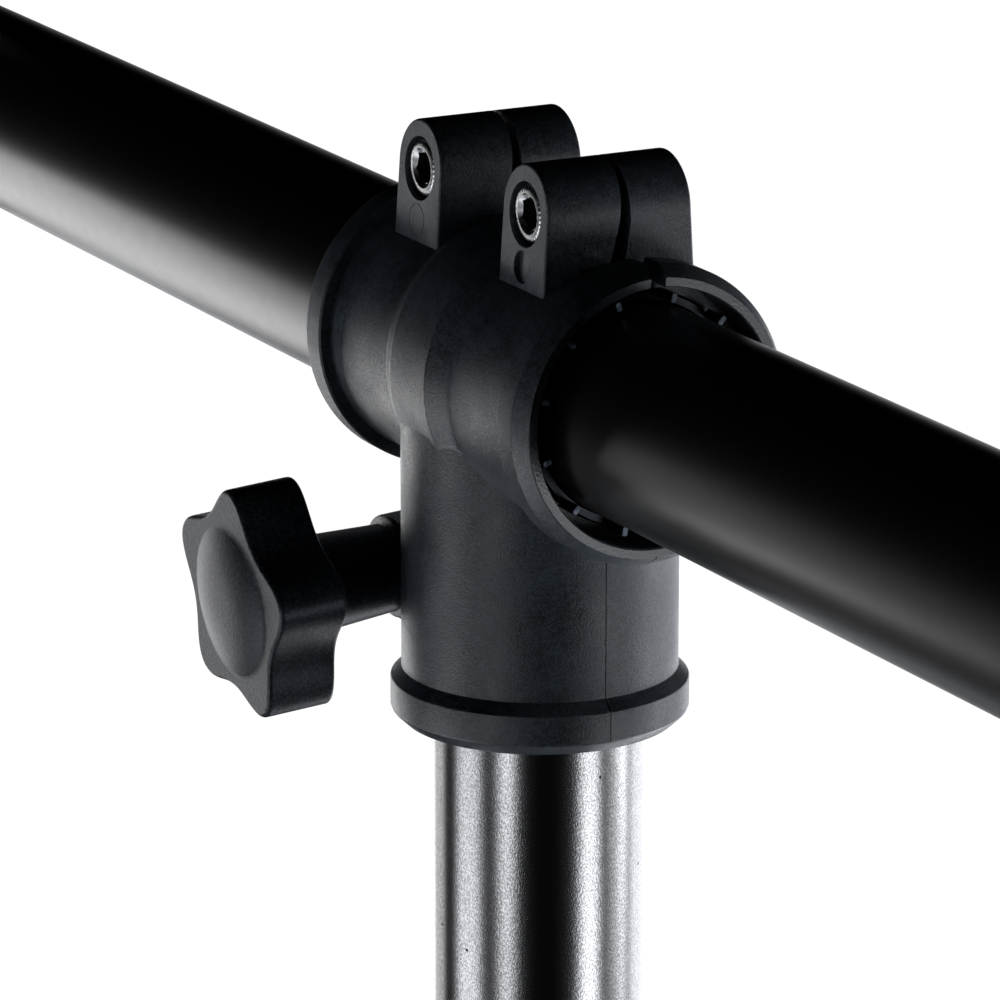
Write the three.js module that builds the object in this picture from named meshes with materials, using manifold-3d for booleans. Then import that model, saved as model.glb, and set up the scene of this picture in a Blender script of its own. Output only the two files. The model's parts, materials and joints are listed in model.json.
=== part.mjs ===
// Lighting T-bar stand: a folding tripod with a telescopic mast, and a T-socket casting that
// carries a round crossbar with four hanger bolts.
// Millimetres, +Z up. The origin is on the floor under the mast. The crossbar runs along X, one leg
// points along +X, and the socket's star knob points along -Y.

import * as THREE from 'three';
import { mergeVertices } from 'three/addons/utils/BufferGeometryUtils.js';
import Module from 'manifold-3d';

const wasm = await Module();
wasm.setup();

const acrossY = [0, 1, 0];
const quarterTurn = Math.PI / 2;
const fullTurn = Math.PI * 2;
const radians = THREE.MathUtils.degToRad;

// Fits shared by every piece.
const runningGap = 0.3;
const overrun = 2;
const weldDistance = 0.0001;

// Facets round each kind of round form.
const castingSteps = 28;
const tubeSteps = 24;
const legSteps = 16;
const smallSteps = 12;
const pinSteps = 8;
const archSteps = 6;

// Crossbar and mast tubes.
const crossbar = { radius: 17.5, wall: 2, halfLength: 600, height: 1500 };
const innerTube = { radius: 17.5, wall: 1.5, length: 900 };
const outerTube = { radius: 20, wall: 1.5, bottom: 34, top: 1000 };

// Round grip shared by the three star knobs: five lobes on a mean radius, a domed cap in front, and a
// neck that narrows towards the threaded end. Distances run outward from the axis that it clamps.
const starKnob = {
  lobes: 5,
  stepsPerLobe: 6,
  meanRadius: 17.4,
  lobeHeight: 2.29,
  lobeSharpness: 0.22,
  lobeTurn: -7.4,
  thickness: 12.2,
  edge: 0.8,
  domeRadius: 12.75,
  domeHeight: 1.85,
  domeRings: 2,
  neckLength: 16.5,
  neckRootRadius: 8.3,
  neckEndRadius: 7.45,
  studRadius: 4.8,
  studDepth: 8,
};

// Threaded brass insert that each knob's stud screws into.
const insert = { radius: 6.6, setback: 0.6 };

// T-socket casting: a split sleeve for the crossbar on a socket for the mast.
const sleeve = {
  radius: 22.4,
  halfLength: 39.5,
  bore: 19.3,
  bandRadius: 24.3,
  bandHalfWidth: 6.5,
  collarRadius: 24.5,
  collarInner: 31.8,
  collarOuter: 36.6,
  lipRadius: 22.9,
  mouthRadius: 21.2,
  mouthChamferRadius: 22.4,
  mouthChamferDepth: 1.2,
  mouthDepth: 8.5,
};
const socket = {
  radius: 22.8,
  bottom: -59.6,
  flangeRadius: 24.6,
  flangeTop: -52.3,
  flangeLow: -57.5,
  lipRadius: 22.5,
  boreChamfer: 1,
  boreTop: -21.8,
};

// Pinch screw of the socket: it runs past the mast through two ears behind the socket, either side of a
// slot, and the threaded insert sits in the far ear. The ears' shape starts at tip and ends at bossEnd.
const headKnob = {
  tilt: 4.34,
  height: -38.1,
  aside: -26,
  bossRadius: 8.8,
  bossEnd: 14.9,
  bossChamfer: 0.7,
  tip: -14,
  insertEnd: -1,
  slotHalfWidth: 0.9,
  slotTop: -24,
};

// Clamp lugs on top of the sleeve: two pairs, drawn together by cap screws.
const lug = {
  spacing: 18.5,
  halfWidth: 7.6,
  top: 38.1,
  foot: 14,
  frontFoot: -13.6,
  frontTop: -12,
  rearFoot: 14.3,
  rearTop: 12.9,
};
const slit = {
  floor: 10,
  footHalfWidth: 1.35,
  kneeHeight: 22,
  midHeight: 29,
  midFront: 0.4,
  midRear: 2.4,
  topFront: 1.3,
  topRear: 1.9,
};
const clampBolt = {
  height: 30,
  shank: 2.9,
  headRadius: 4.85,
  headLength: 6,
  recess: 0.4,
  hexRadius: 2.9,
  hexDepth: 3.2,
  nutRadius: 5.6,
  nutLength: 4.6,
  pointLength: 1,
};
const ejectorMark = { height: 21.5, radius: 2.65, depth: 0.3 };

// Ribbed liner between the sleeve and the crossbar.
const liner = {
  halfLength: 33,
  ribs: 12,
  ribWidth: 1.4,
  ribReach: 4,
  ribRoot: 1,
  ribLift: 0.4,
  ribTop: 20,
  ribTurn: -73,
};

// Friction disc between the mast's top and the socket's floor.
const swivelDisc = { radius: 17.3, thickness: 2.5, hole: 4 };

// Hanger: a bolt through the bar with a saddle above and below, and a wing nut that waits a lamp
// yoke's thickness below the lower saddle.
const hanger = {
  endInset: 80,
  boltRadius: 4.9,
  boltLength: 92,
  headRadius: 8.6,
  headLength: 6.5,
  saddleHalfLength: 14,
  saddleHalfWidth: 11,
  saddleFace: 21.5,
  nutRadius: 8.6,
  nutLength: 10,
  wingReach: 22,
  wingRise: 13,
  wingThickness: 3.4,
  wingRoot: 4,
  wingTip: 6,
  nutTaper: 1.6,
  nutDrop: 12,
};
const hangerSpots = [-1, -1 / 2, 1 / 2, 1].map((share) => share * (crossbar.halfLength - hanger.endInset));

const barCap = { radius: 17.3, thickness: 3, spigotLength: 14, edge: 0.8 };

// Clamp casting between the two mast tubes.
const mastClamp = {
  radius: 25,
  flangeRadius: 27,
  flangeLength: 8,
  gripLength: 50,
  guideLength: 38,
  knobHeight: 19,
  bossRadius: 9.5,
  bossEnd: 32,
  edge: 1.5,
};
const guideBush = { flangeLength: 12, spigotLength: 25, bore: 8 };
const mastPlug = { radius: 19.6, thickness: 4, spigotLength: 18 };

// Tripod: legs pinned to a sliding collar, braces pinned between a fixed hub and each leg's middle.
const tripod = {
  legs: 3,
  openAngle: 52,
  pivotRadius: 46,
  braceLength: 300,
  legLength: 675,
  footHeight: 14,
};
const leg = { radius: 12.5, wall: 1.5, headroom: 12 };
const foot = { radius: 15.5, grip: 32, sole: 8 };
const brace = { inside: 26, sheet: 2, halfDepth: 11, webBottomCut: 13, webTopCut: 18 };
const pin = { radius: 3, headRadius: 5, headLength: 2 };
const hub = { radius: 27, below: 25, above: 24, lugHalfWidth: 12.6, lugHalfHeight: 9, edge: 1.5 };
const collar = {
  radius: 27,
  below: 18,
  above: 52,
  earThickness: 5,
  earGap: 0.6,
  knobHeight: 32,
  knobAzimuth: -90,
  bossEnd: 34,
};

const headHeight = crossbar.height;
const hubHeight = tripod.footHeight
  + (tripod.legLength - 2 * tripod.braceLength) * Math.cos(radians(tripod.openAngle));
const collarHeight = hubHeight + 2 * tripod.braceLength * Math.cos(radians(tripod.openAngle));

const finishes = {
  powderCoat: { color: 0x161718, roughness: 0.45, metalness: 0.2 },
  casting: { color: 0x2b2c2e, roughness: 0.8, metalness: 0 },
  knob: { color: 0x1d1e1f, roughness: 0.7, metalness: 0 },
  satinTube: { color: 0xc8c9ca, roughness: 0.3, metalness: 1 },
  zinc: { color: 0xa9acb0, roughness: 0.35, metalness: 1 },
  brass: { color: 0xb08d4a, roughness: 0.35, metalness: 1 },
  liner: { color: 0x0d0d0e, roughness: 0.6, metalness: 0 },
  rubber: { color: 0x111111, roughness: 0.9, metalness: 0 },
};
const materials = Object.fromEntries(
  Object.entries(finishes).map(([name, look]) => [name, new THREE.MeshStandardMaterial({ name, ...look })]),
);

// Closed three.js geometry to manifold solid. Triangles that collapse when vertices merge are left
// out, and the winding is turned round if the faces point inward.
function solid(geometry) {
  const bare = geometry.clone();
  bare.deleteAttribute('normal');
  bare.deleteAttribute('uv');
  const merged = mergeVertices(bare, weldDistance);
  const points = merged.attributes.position;
  const corners = [];
  for (let i = 0; i < merged.index.count; i += 3) {
    const [a, b, c] = [0, 1, 2].map((step) => merged.index.getX(i + step));
    if (a !== b && b !== c && c !== a) corners.push([a, b, c]);
  }
  const at = (index) => new THREE.Vector3().fromBufferAttribute(points, index);
  const volume = corners.reduce((sum, [a, b, c]) => sum + at(a).dot(at(b).cross(at(c))), 0);
  const turned = volume < 0 ? corners.map(([a, b, c]) => [a, c, b]) : corners;
  return new wasm.Manifold(new wasm.Mesh({
    numProp: 3,
    vertProperties: new Float32Array(points.array),
    triVerts: new Uint32Array(turned.flat()),
  }));
}

function fuse(solids) {
  return solids.reduce((whole, piece) => whole.add(piece));
}

function carve(body, tools) {
  return tools.reduce((left, tool) => left.subtract(tool), body);
}

// Named mesh from a solid.
function piece(name, body, material) {
  const mesh = body.getMesh();
  const geometry = new THREE.BufferGeometry();
  geometry.setAttribute('position', new THREE.BufferAttribute(new Float32Array(mesh.vertProperties), 3));
  geometry.setIndex(new THREE.BufferAttribute(new Uint32Array(mesh.triVerts), 1));
  geometry.computeVertexNormals();
  const made = new THREE.Mesh(geometry, material);
  made.name = name;
  return made;
}

function group(children, place = [0, 0, 0], turn = [0, 0, 0]) {
  const made = new THREE.Group();
  made.position.set(...place);
  made.rotation.set(...turn);
  made.add(...children);
  return made;
}

// Stands a form made along Z on another axis.
const [alongX, alongY, alongZ] = [[1, 0, 0], [0, 1, 0], [0, 0, 1]].map((axis) => new THREE.Vector3(...axis));
const standing = {
  x: new THREE.Matrix4().makeBasis(alongY, alongZ, alongX),
  y: new THREE.Matrix4().makeBasis(alongX, alongZ, alongY),
  z: new THREE.Matrix4(),
};

// Turned form: profile points are [radius, distance along the axis].
function turned(profile, axis, steps) {
  const geometry = new THREE.LatheGeometry(profile.map(([r, h]) => new THREE.Vector2(r, h)), steps);
  geometry.rotateX(quarterTurn);
  geometry.applyMatrix4(standing[axis]);
  return geometry;
}

function rod(radius, low, high, axis = 'z', steps = smallSteps) {
  return solid(turned([[0, low], [radius, low], [radius, high], [0, high]], axis, steps));
}

function pipe(inner, outer, low, high, axis = 'z', steps = castingSteps) {
  return solid(turned([[inner, low], [outer, low], [outer, high], [inner, high], [inner, low]], axis, steps));
}

function block(low, high) {
  const size = high.map((value, i) => value - low[i]);
  const middle = high.map((value, i) => (value + low[i]) / 2);
  return solid(new THREE.BoxGeometry(...size).translate(...middle));
}

// Outline pushed along an axis. Its points are (y, z) for x, (x, z) for y and (x, y) for z.
function prism(outline, low, high, axis) {
  const shape = new THREE.Shape(outline.map(([a, b]) => new THREE.Vector2(a, b)));
  const geometry = new THREE.ExtrudeGeometry(shape, { depth: high - low, bevelEnabled: false });
  geometry.translate(0, 0, low);
  geometry.applyMatrix4(standing[axis]);
  return solid(geometry);
}

function polygon(sides, radius, turn = 0) {
  return Array.from({ length: sides }, (_, i) => {
    const angle = (i * fullTurn) / sides + turn;
    return [radius * Math.cos(angle), radius * Math.sin(angle)];
  });
}

// Half circle from one side to the other over the top, for arched lugs and round ends.
function archPoints(centre, height, radius, steps) {
  return Array.from({ length: steps + 1 }, (_, i) => {
    const angle = (Math.PI * i) / steps;
    return [centre + radius * Math.cos(angle), height + radius * Math.sin(angle)];
  });
}

// Star knob along +Z, with z = 0 where its neck meets the boss.
function starKnobBody() {
  const { lobes, stepsPerLobe, meanRadius, lobeHeight, lobeSharpness } = starKnob;
  const outline = Array.from({ length: lobes * stepsPerLobe }, (_, i) => {
    const angle = (i * fullTurn) / (lobes * stepsPerLobe);
    const phase = lobes * (angle - radians(starKnob.lobeTurn) - quarterTurn);
    const radius = meanRadius + lobeHeight * Math.cos(phase) + lobeSharpness * Math.cos(2 * phase);
    return new THREE.Vector2(radius * Math.cos(angle), radius * Math.sin(angle));
  });
  const face = starKnob.neckLength + starKnob.thickness;
  const grip = new THREE.ExtrudeGeometry(new THREE.Shape(outline), {
    depth: starKnob.thickness - 2 * starKnob.edge,
    bevelThickness: starKnob.edge,
    bevelSize: starKnob.edge,
    bevelOffset: -starKnob.edge,
    bevelSegments: 1,
  });
  const neckTop = starKnob.neckLength + starKnob.edge;
  grip.translate(0, 0, neckTop);
  const dome = [[0, neckTop], [starKnob.domeRadius, neckTop]];
  for (let i = 0; i <= starKnob.domeRings; i += 1) {
    const angle = (quarterTurn * i) / starKnob.domeRings;
    const radius = i === starKnob.domeRings ? 0 : starKnob.domeRadius * Math.cos(angle);
    dome.push([radius, face + starKnob.domeHeight * Math.sin(angle)]);
  }
  const neck = [[0, 0], [starKnob.neckEndRadius, 0], [starKnob.neckRootRadius, neckTop], [0, neckTop]];
  const whole = fuse([solid(grip), solid(turned(dome, 'z', legSteps)), solid(turned(neck, 'z', smallSteps))]);
  return whole.subtract(rod(starKnob.studRadius + runningGap, -overrun, studTop() + runningGap));
}

function studTop() {
  return starKnob.neckLength + starKnob.studDepth;
}

// Knob, stud and insert along +Z. The boss ends at bossEnd, the stud's tip stops at tip, and the insert
// reaches from there to insertEnd.
function knobSet(place, bossEnd, tip, insertEnd = bossEnd) {
  const stud = rod(starKnob.studRadius, tip, bossEnd + runningGap + studTop(), 'z', pinSteps);
  const bore = starKnob.studRadius + runningGap;
  const threaded = pipe(bore, insert.radius, tip + insert.setback, insertEnd - insert.setback, 'z', smallSteps);
  const knob = piece(`${place}_knob`, starKnobBody(), materials.knob);
  knob.position.z = bossEnd + runningGap;
  return [
    knob,
    piece(`${place}_knob_stud`, stud, materials.zinc),
    piece(`${place}_knob_insert`, threaded, materials.brass),
  ];
}

// Boss along +Z and the stepped hole that goes through it.
function knobBoss(radius, end, chamfer) {
  const profile = [[0, 0], [radius, 0], [radius, end - chamfer], [radius - chamfer, end], [0, end]];
  return solid(turned(profile, 'z', smallSteps));
}

function bossHole(end) {
  return rod(insert.radius + runningGap, 0, end + overrun);
}

// Lays a solid made along +Z on a knob's axis, which points along -Y unless an azimuth turns it, and
// dips by tilt degrees.
function onKnobAxis(body, { tilt, height, azimuth = 0, aside = 0 }) {
  return body.rotate([90 + tilt, 0, azimuth]).translate([aside, 0, height]);
}

// Height of a leaning lug face at a given height, between its foot and its top.
function leaning(foot, top, height) {
  return foot + ((top - foot) * (height - lug.foot)) / (lug.top - lug.foot);
}

function lugBody(centre) {
  const shoulder = lug.top - lug.halfWidth;
  const arch = [
    [centre - lug.halfWidth, lug.foot],
    [centre + lug.halfWidth, lug.foot],
    ...archPoints(centre, shoulder, lug.halfWidth, archSteps),
  ];
  const side = [
    [lug.frontFoot, lug.foot],
    [lug.rearFoot, lug.foot],
    [lug.rearTop, lug.top],
    [lug.frontTop, lug.top],
  ];
  const across = prism(arch, lug.frontFoot - overrun, lug.rearFoot + overrun, 'y');
  const along = prism(side, centre - lug.halfWidth - overrun, centre + lug.halfWidth + overrun, 'x');
  return across.intersect(along);
}

const boltFace = leaning(lug.frontFoot, lug.frontTop, clampBolt.height);
const nutFace = leaning(lug.rearFoot, lug.rearTop, clampBolt.height);
const boltSeat = boltFace + clampBolt.recess + clampBolt.headLength;
const nutSeat = nutFace - clampBolt.recess - clampBolt.nutLength;

function lugCuts(centre) {
  const place = [centre, 0, clampBolt.height];
  const headHole = rod(clampBolt.headRadius + 2 * runningGap, boltFace - overrun, boltSeat + runningGap, 'y');
  const shankHole = rod(clampBolt.shank + runningGap, boltFace, nutFace, 'y');
  const pocket = prism(
    polygon(6, clampBolt.nutRadius + 2 * runningGap), nutSeat - runningGap, nutFace + overrun, 'y',
  );
  const markFace = leaning(lug.frontFoot, lug.frontTop, ejectorMark.height);
  const mark = rod(ejectorMark.radius, markFace - overrun, markFace + ejectorMark.depth, 'y');
  return [
    ...[headHole, shankHole, pocket].map((tool) => tool.translate(place)),
    mark.translate([centre, 0, ejectorMark.height]),
  ];
}

function mirrored(points) {
  return [...points, ...points.map(([r, x]) => [r, -x]).reverse()];
}

function sleeveBody() {
  return solid(turned(mirrored([
    [0, -sleeve.halfLength],
    [sleeve.lipRadius, -sleeve.halfLength],
    [sleeve.collarRadius, -sleeve.collarOuter],
    [sleeve.collarRadius, -sleeve.collarInner],
    [sleeve.radius, -sleeve.collarInner],
    [sleeve.radius, -sleeve.bandHalfWidth],
    [sleeve.bandRadius, -sleeve.bandHalfWidth],
  ]), 'x', castingSteps));
}

function sleeveBore() {
  const recess = sleeve.halfLength - sleeve.mouthDepth;
  return solid(turned(mirrored([
    [0, -sleeve.halfLength - overrun],
    [sleeve.mouthChamferRadius, -sleeve.halfLength - overrun],
    [sleeve.mouthChamferRadius, -sleeve.halfLength],
    [sleeve.mouthRadius, -sleeve.halfLength + sleeve.mouthChamferDepth],
    [sleeve.mouthRadius, -recess],
    [sleeve.bore, -recess],
  ]), 'x', castingSteps));
}

function socketBody() {
  return solid(turned([
    [0, socket.bottom],
    [socket.lipRadius, socket.bottom],
    [socket.flangeRadius, socket.flangeLow],
    [socket.flangeRadius, socket.flangeTop],
    [socket.radius, socket.flangeTop],
    [socket.radius, 0],
    [0, 0],
  ], 'z', castingSteps));
}

function socketBore() {
  const bore = innerTube.radius + runningGap;
  return solid(turned([
    [0, socket.bottom - overrun],
    [bore + socket.boreChamfer, socket.bottom - overrun],
    [bore + socket.boreChamfer, socket.bottom],
    [bore, socket.bottom + socket.boreChamfer],
    [bore, socket.boreTop],
    [0, socket.boreTop],
  ], 'z', castingSteps));
}

function slitTool() {
  const outline = [
    [-slit.footHalfWidth, slit.floor],
    [slit.footHalfWidth, slit.floor],
    [slit.footHalfWidth, slit.kneeHeight],
    [slit.midRear, slit.midHeight],
    [slit.topRear, lug.top + overrun],
    [slit.topFront, lug.top + overrun],
    [slit.midFront, slit.midHeight],
    [-slit.footHalfWidth, slit.kneeHeight],
  ];
  return prism(outline, -sleeve.halfLength - overrun, sleeve.halfLength + overrun, 'x');
}

const lugCentres = [-lug.spacing, lug.spacing];

// Both ears as one rounded lug along +Z, bridged to the socket's wall.
function pinchEars() {
  const { bossRadius, bossEnd, bossChamfer, tip } = headKnob;
  const round = solid(turned([
    [0, tip],
    [bossRadius, tip],
    [bossRadius, bossEnd - bossChamfer],
    [bossRadius - bossChamfer, bossEnd],
    [0, bossEnd],
  ], 'z', smallSteps));
  const reach = -headKnob.aside - socket.radius / 2;
  return round.add(block([0, -bossRadius, tip], [reach, bossRadius, bossEnd - bossChamfer]));
}

// Clearance hole of the near ear and seat of the insert in the far ear.
function pinchHoles() {
  const clearance = rod(starKnob.studRadius + runningGap, 0, headKnob.bossEnd + overrun);
  return clearance.add(rod(insert.radius + runningGap, headKnob.tip - overrun, 0));
}

function pinchSlot() {
  const { aside, bossRadius, slotHalfWidth, slotTop } = headKnob;
  const outside = aside - bossRadius - overrun;
  return block([outside, -slotHalfWidth, socket.bottom - overrun], [-socket.radius / 2, slotHalfWidth, slotTop]);
}

function tSocket() {
  const ears = onKnobAxis(pinchEars(), headKnob);
  const body = fuse([sleeveBody(), socketBody(), ears, ...lugCentres.map(lugBody)]);
  const cuts = [
    sleeveBore(), socketBore(), slitTool(), pinchSlot(), onKnobAxis(pinchHoles(), headKnob),
    ...lugCentres.flatMap(lugCuts),
  ];
  return piece('t_socket', carve(body, cuts), materials.casting);
}

function clampBoltBody() {
  const head = rod(clampBolt.headRadius, 0, clampBolt.headLength, 'y');
  const point = nutFace - boltFace - clampBolt.pointLength;
  const shank = rod(clampBolt.shank, clampBolt.headLength / 2, point, 'y', pinSteps);
  const key = prism(polygon(6, clampBolt.hexRadius), -overrun, clampBolt.hexDepth, 'y');
  return head.add(shank).subtract(key);
}

function clampNutBody() {
  const nut = prism(polygon(6, clampBolt.nutRadius), 0, clampBolt.nutLength, 'y');
  const bore = rod(clampBolt.shank + runningGap, -overrun, clampBolt.nutLength + overrun, 'y', pinSteps);
  return nut.subtract(bore);
}

function clampSet(centre, number) {
  const bolt = piece(`clamp_bolt_${number}`, clampBoltBody(), materials.zinc);
  bolt.position.set(centre, boltFace + clampBolt.recess, clampBolt.height);
  const nut = piece(`clamp_nut_${number}`, clampNutBody(), materials.zinc);
  nut.position.set(centre, nutSeat, clampBolt.height);
  return [bolt, nut];
}

function barLiner() {
  const inner = crossbar.radius + runningGap;
  const outer = sleeve.bore - runningGap;
  const root = liner.halfLength - liner.ribRoot;
  const end = liner.halfLength + liner.ribReach;
  const ribs = Array.from({ length: liner.ribs }, (_, i) => (
    [[-end, -root], [root, end]].map(([low, high]) => (
      block([low, -liner.ribWidth / 2, inner + liner.ribLift], [high, liner.ribWidth / 2, liner.ribTop])
        .rotate([liner.ribTurn + (i * 360) / liner.ribs, 0, 0])
    ))
  )).flat();
  const tube = pipe(inner, outer, -liner.halfLength, liner.halfLength, 'x');
  return piece('bar_liner', fuse([tube, ...ribs]), materials.liner);
}

const discTop = socket.boreTop - runningGap;
const innerTubeTop = headHeight + discTop - swivelDisc.thickness - runningGap;

function swivelDiscPiece() {
  const body = pipe(swivelDisc.hole, swivelDisc.radius, discTop - swivelDisc.thickness, discTop);
  return piece('swivel_disc', body, materials.liner);
}

function headGroup() {
  const knob = group(
    knobSet('head', headKnob.bossEnd, headKnob.tip, headKnob.insertEnd),
    [headKnob.aside, 0, headKnob.height],
    [quarterTurn + radians(headKnob.tilt), 0, 0],
  );
  const clamps = lugCentres.flatMap((centre, i) => clampSet(centre, i + 1));
  return group([tSocket(), barLiner(), swivelDiscPiece(), knob, ...clamps], [0, 0, headHeight]);
}

function crossbarPiece() {
  const { radius, wall, halfLength } = crossbar;
  const tube = pipe(radius - wall, radius, -halfLength, halfLength, 'x', tubeSteps);
  const hole = rod(hanger.boltRadius + runningGap, -radius - overrun, radius + overrun);
  const holes = hangerSpots.map((x) => hole.translate([x, 0, 0]));
  return piece('crossbar', carve(tube, holes), materials.powderCoat);
}

function barCapBody() {
  const spigot = crossbar.radius - crossbar.wall - runningGap;
  return solid(turned([
    [0, -barCap.spigotLength],
    [spigot, -barCap.spigotLength],
    [spigot, runningGap],
    [barCap.radius, runningGap],
    [barCap.radius, barCap.thickness - barCap.edge],
    [barCap.radius - barCap.edge, barCap.thickness],
    [0, barCap.thickness],
  ], 'z', tubeSteps));
}

function barCaps() {
  return [['bar_cap_near', 1], ['bar_cap_far', -1]].map(([name, side]) => {
    const cap = piece(name, barCapBody(), materials.liner);
    cap.position.x = side * crossbar.halfLength;
    cap.rotation.y = side * quarterTurn;
    return cap;
  });
}

function saddleBody() {
  const { saddleHalfLength, saddleHalfWidth, saddleFace } = hanger;
  const low = crossbar.radius * Math.cos(Math.asin(saddleHalfWidth / crossbar.radius)) - overrun;
  const plate = block(
    [-saddleHalfLength, -saddleHalfWidth, low],
    [saddleHalfLength, saddleHalfWidth, saddleFace],
  );
  const reach = saddleHalfLength + overrun;
  const seat = rod(crossbar.radius + runningGap, -reach, reach, 'x', tubeSteps);
  return carve(plate, [seat, rod(hanger.boltRadius + runningGap, 0, saddleFace + overrun)]);
}

function hangerBoltBody() {
  const seat = hanger.saddleFace + runningGap;
  const head = prism(polygon(6, hanger.headRadius), seat, seat + hanger.headLength, 'z');
  const shankTop = seat + hanger.headLength / 2;
  return head.add(rod(hanger.boltRadius, shankTop - hanger.boltLength, shankTop));
}

// Wing nut hanging below its seat, which is at z = 0.
function wingNutBody() {
  const collarLine = hanger.nutRadius - hanger.nutTaper;
  const hubBody = solid(turned([
    [0, 0], [hanger.nutRadius, 0], [collarLine, -hanger.nutLength], [0, -hanger.nutLength],
  ], 'z', smallSteps));
  const { wingRoot, wingReach, wingRise, wingTip } = hanger;
  const outline = [
    [wingRoot, -wingTip / 2],
    [wingReach - wingTip, -wingRise + wingTip],
    [wingReach, -wingRise],
    [wingReach, -wingRise - wingTip / 2],
    [wingReach - wingTip / 2, -wingRise - wingTip],
    [wingReach - wingTip, -wingRise - wingTip],
    [wingRoot, -hanger.nutLength],
  ];
  const wing = prism(outline, -hanger.wingThickness / 2, hanger.wingThickness / 2, 'y');
  const whole = fuse([hubBody, wing, wing.rotate([0, 0, 180])]);
  return whole.subtract(rod(hanger.boltRadius + runningGap, -wingRise - overrun, overrun));
}

function hangerSet(x, number) {
  const upper = piece(`upper_saddle_${number}`, saddleBody(), materials.liner);
  const lower = piece(`lower_saddle_${number}`, saddleBody().rotate([180, 0, 0]), materials.liner);
  const bolt = piece(`hanger_bolt_${number}`, hangerBoltBody(), materials.zinc);
  const nut = piece(`wing_nut_${number}`, wingNutBody(), materials.zinc);
  nut.position.z = -hanger.saddleFace - hanger.nutDrop;
  return group([upper, lower, bolt, nut], [x, 0, 0]);
}

function barGroup() {
  return group(
    [crossbarPiece(), ...barCaps(), ...hangerSpots.map((x, i) => hangerSet(x, i + 1))],
    [0, 0, headHeight],
  );
}

function innerTubePiece() {
  const { radius, wall, length } = innerTube;
  const body = pipe(radius - wall, radius, innerTubeTop - length, innerTubeTop, 'z', tubeSteps);
  return piece('inner_tube', body, materials.satinTube);
}

function guideBushPiece() {
  const flangeTop = innerTubeTop - innerTube.length - runningGap;
  const spigot = innerTube.radius - innerTube.wall - runningGap;
  const flange = outerTube.radius - outerTube.wall - runningGap;
  const body = solid(turned([
    [guideBush.bore, flangeTop - guideBush.flangeLength],
    [flange, flangeTop - guideBush.flangeLength],
    [flange, flangeTop],
    [spigot, flangeTop],
    [spigot, flangeTop + guideBush.spigotLength],
    [guideBush.bore, flangeTop + guideBush.spigotLength],
    [guideBush.bore, flangeTop - guideBush.flangeLength],
  ], 'z', tubeSteps));
  return piece('guide_bush', body, materials.liner);
}

function outerTubePiece() {
  const { radius, wall, bottom, top } = outerTube;
  const body = pipe(radius - wall, radius, bottom, top, 'z', tubeSteps);
  return piece('outer_tube', body, materials.powderCoat);
}

function mastPlugPiece() {
  const spigot = outerTube.radius - outerTube.wall - runningGap;
  const face = outerTube.bottom - runningGap;
  const body = solid(turned([
    [0, face - mastPlug.thickness],
    [mastPlug.radius, face - mastPlug.thickness],
    [mastPlug.radius, face],
    [spigot, face],
    [spigot, face + mastPlug.spigotLength],
    [0, face + mastPlug.spigotLength],
  ], 'z', tubeSteps));
  return piece('mast_plug', body, materials.liner);
}

function mastClampPiece() {
  const { edge, radius, flangeRadius, flangeLength } = mastClamp;
  const low = -mastClamp.gripLength;
  const high = mastClamp.guideLength;
  const shell = solid(turned([
    [0, low],
    [flangeRadius - edge, low],
    [flangeRadius, low + edge],
    [flangeRadius, low + flangeLength],
    [radius, low + flangeLength],
    [radius, high - flangeLength],
    [flangeRadius, high - flangeLength],
    [flangeRadius, high - edge],
    [flangeRadius - edge, high],
    [0, high],
  ], 'z', castingSteps));
  const place = { tilt: 0, height: mastClamp.knobHeight };
  const boss = onKnobAxis(knobBoss(mastClamp.bossRadius, mastClamp.bossEnd, headKnob.bossChamfer), place);
  const grip = rod(outerTube.radius + runningGap, low - overrun, runningGap, 'z', tubeSteps);
  const guide = rod(innerTube.radius + runningGap, 0, high + overrun, 'z', tubeSteps);
  const body = carve(shell.add(boss), [grip, guide, onKnobAxis(bossHole(mastClamp.bossEnd), place)]);
  return piece('mast_clamp', body, materials.casting);
}

function mastGroup() {
  const knob = group(
    knobSet('mast', mastClamp.bossEnd, innerTube.radius + runningGap),
    [0, 0, mastClamp.knobHeight],
    [quarterTurn, 0, 0],
  );
  const clamp = group([mastClampPiece(), knob], [0, 0, outerTube.top]);
  return group([innerTubePiece(), guideBushPiece(), outerTubePiece(), mastPlugPiece(), clamp]);
}

// Rivet pin along Y with a head at each end of its grip.
function pinBody(grip) {
  const { radius, headRadius, headLength } = pin;
  const end = grip / 2 + runningGap;
  return solid(turned([
    [0, -end - headLength],
    [headRadius, -end - headLength],
    [headRadius, -end],
    [radius, -end],
    [radius, end],
    [headRadius, end],
    [headRadius, end + headLength],
    [0, end + headLength],
  ], 'y', pinSteps));
}

function pinHole(halfLength) {
  return rod(pin.radius + runningGap, -halfLength - overrun, halfLength + overrun, 'y', pinSteps);
}

// Lug outline in (x, z), from inside its body to a round end about the pivot.
function lugOutline(halfHeight) {
  const root = outerTube.radius;
  const end = archPoints(0, 0, halfHeight, archSteps).map(([a, b]) => [tripod.pivotRadius + b, a]);
  return [[root, halfHeight], ...end, [root, -halfHeight]];
}

function spokeAngle(index) {
  return (index * 360) / tripod.legs;
}

function aroundMast(body) {
  return Array.from({ length: tripod.legs }, (_, i) => body.rotate([0, 0, spokeAngle(i)]));
}

function ringBody(radius, low, high, edge) {
  return solid(turned([
    [0, low],
    [radius - edge, low],
    [radius, low + edge],
    [radius, high - edge],
    [radius - edge, high],
    [0, high],
  ], 'z', castingSteps));
}

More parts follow.
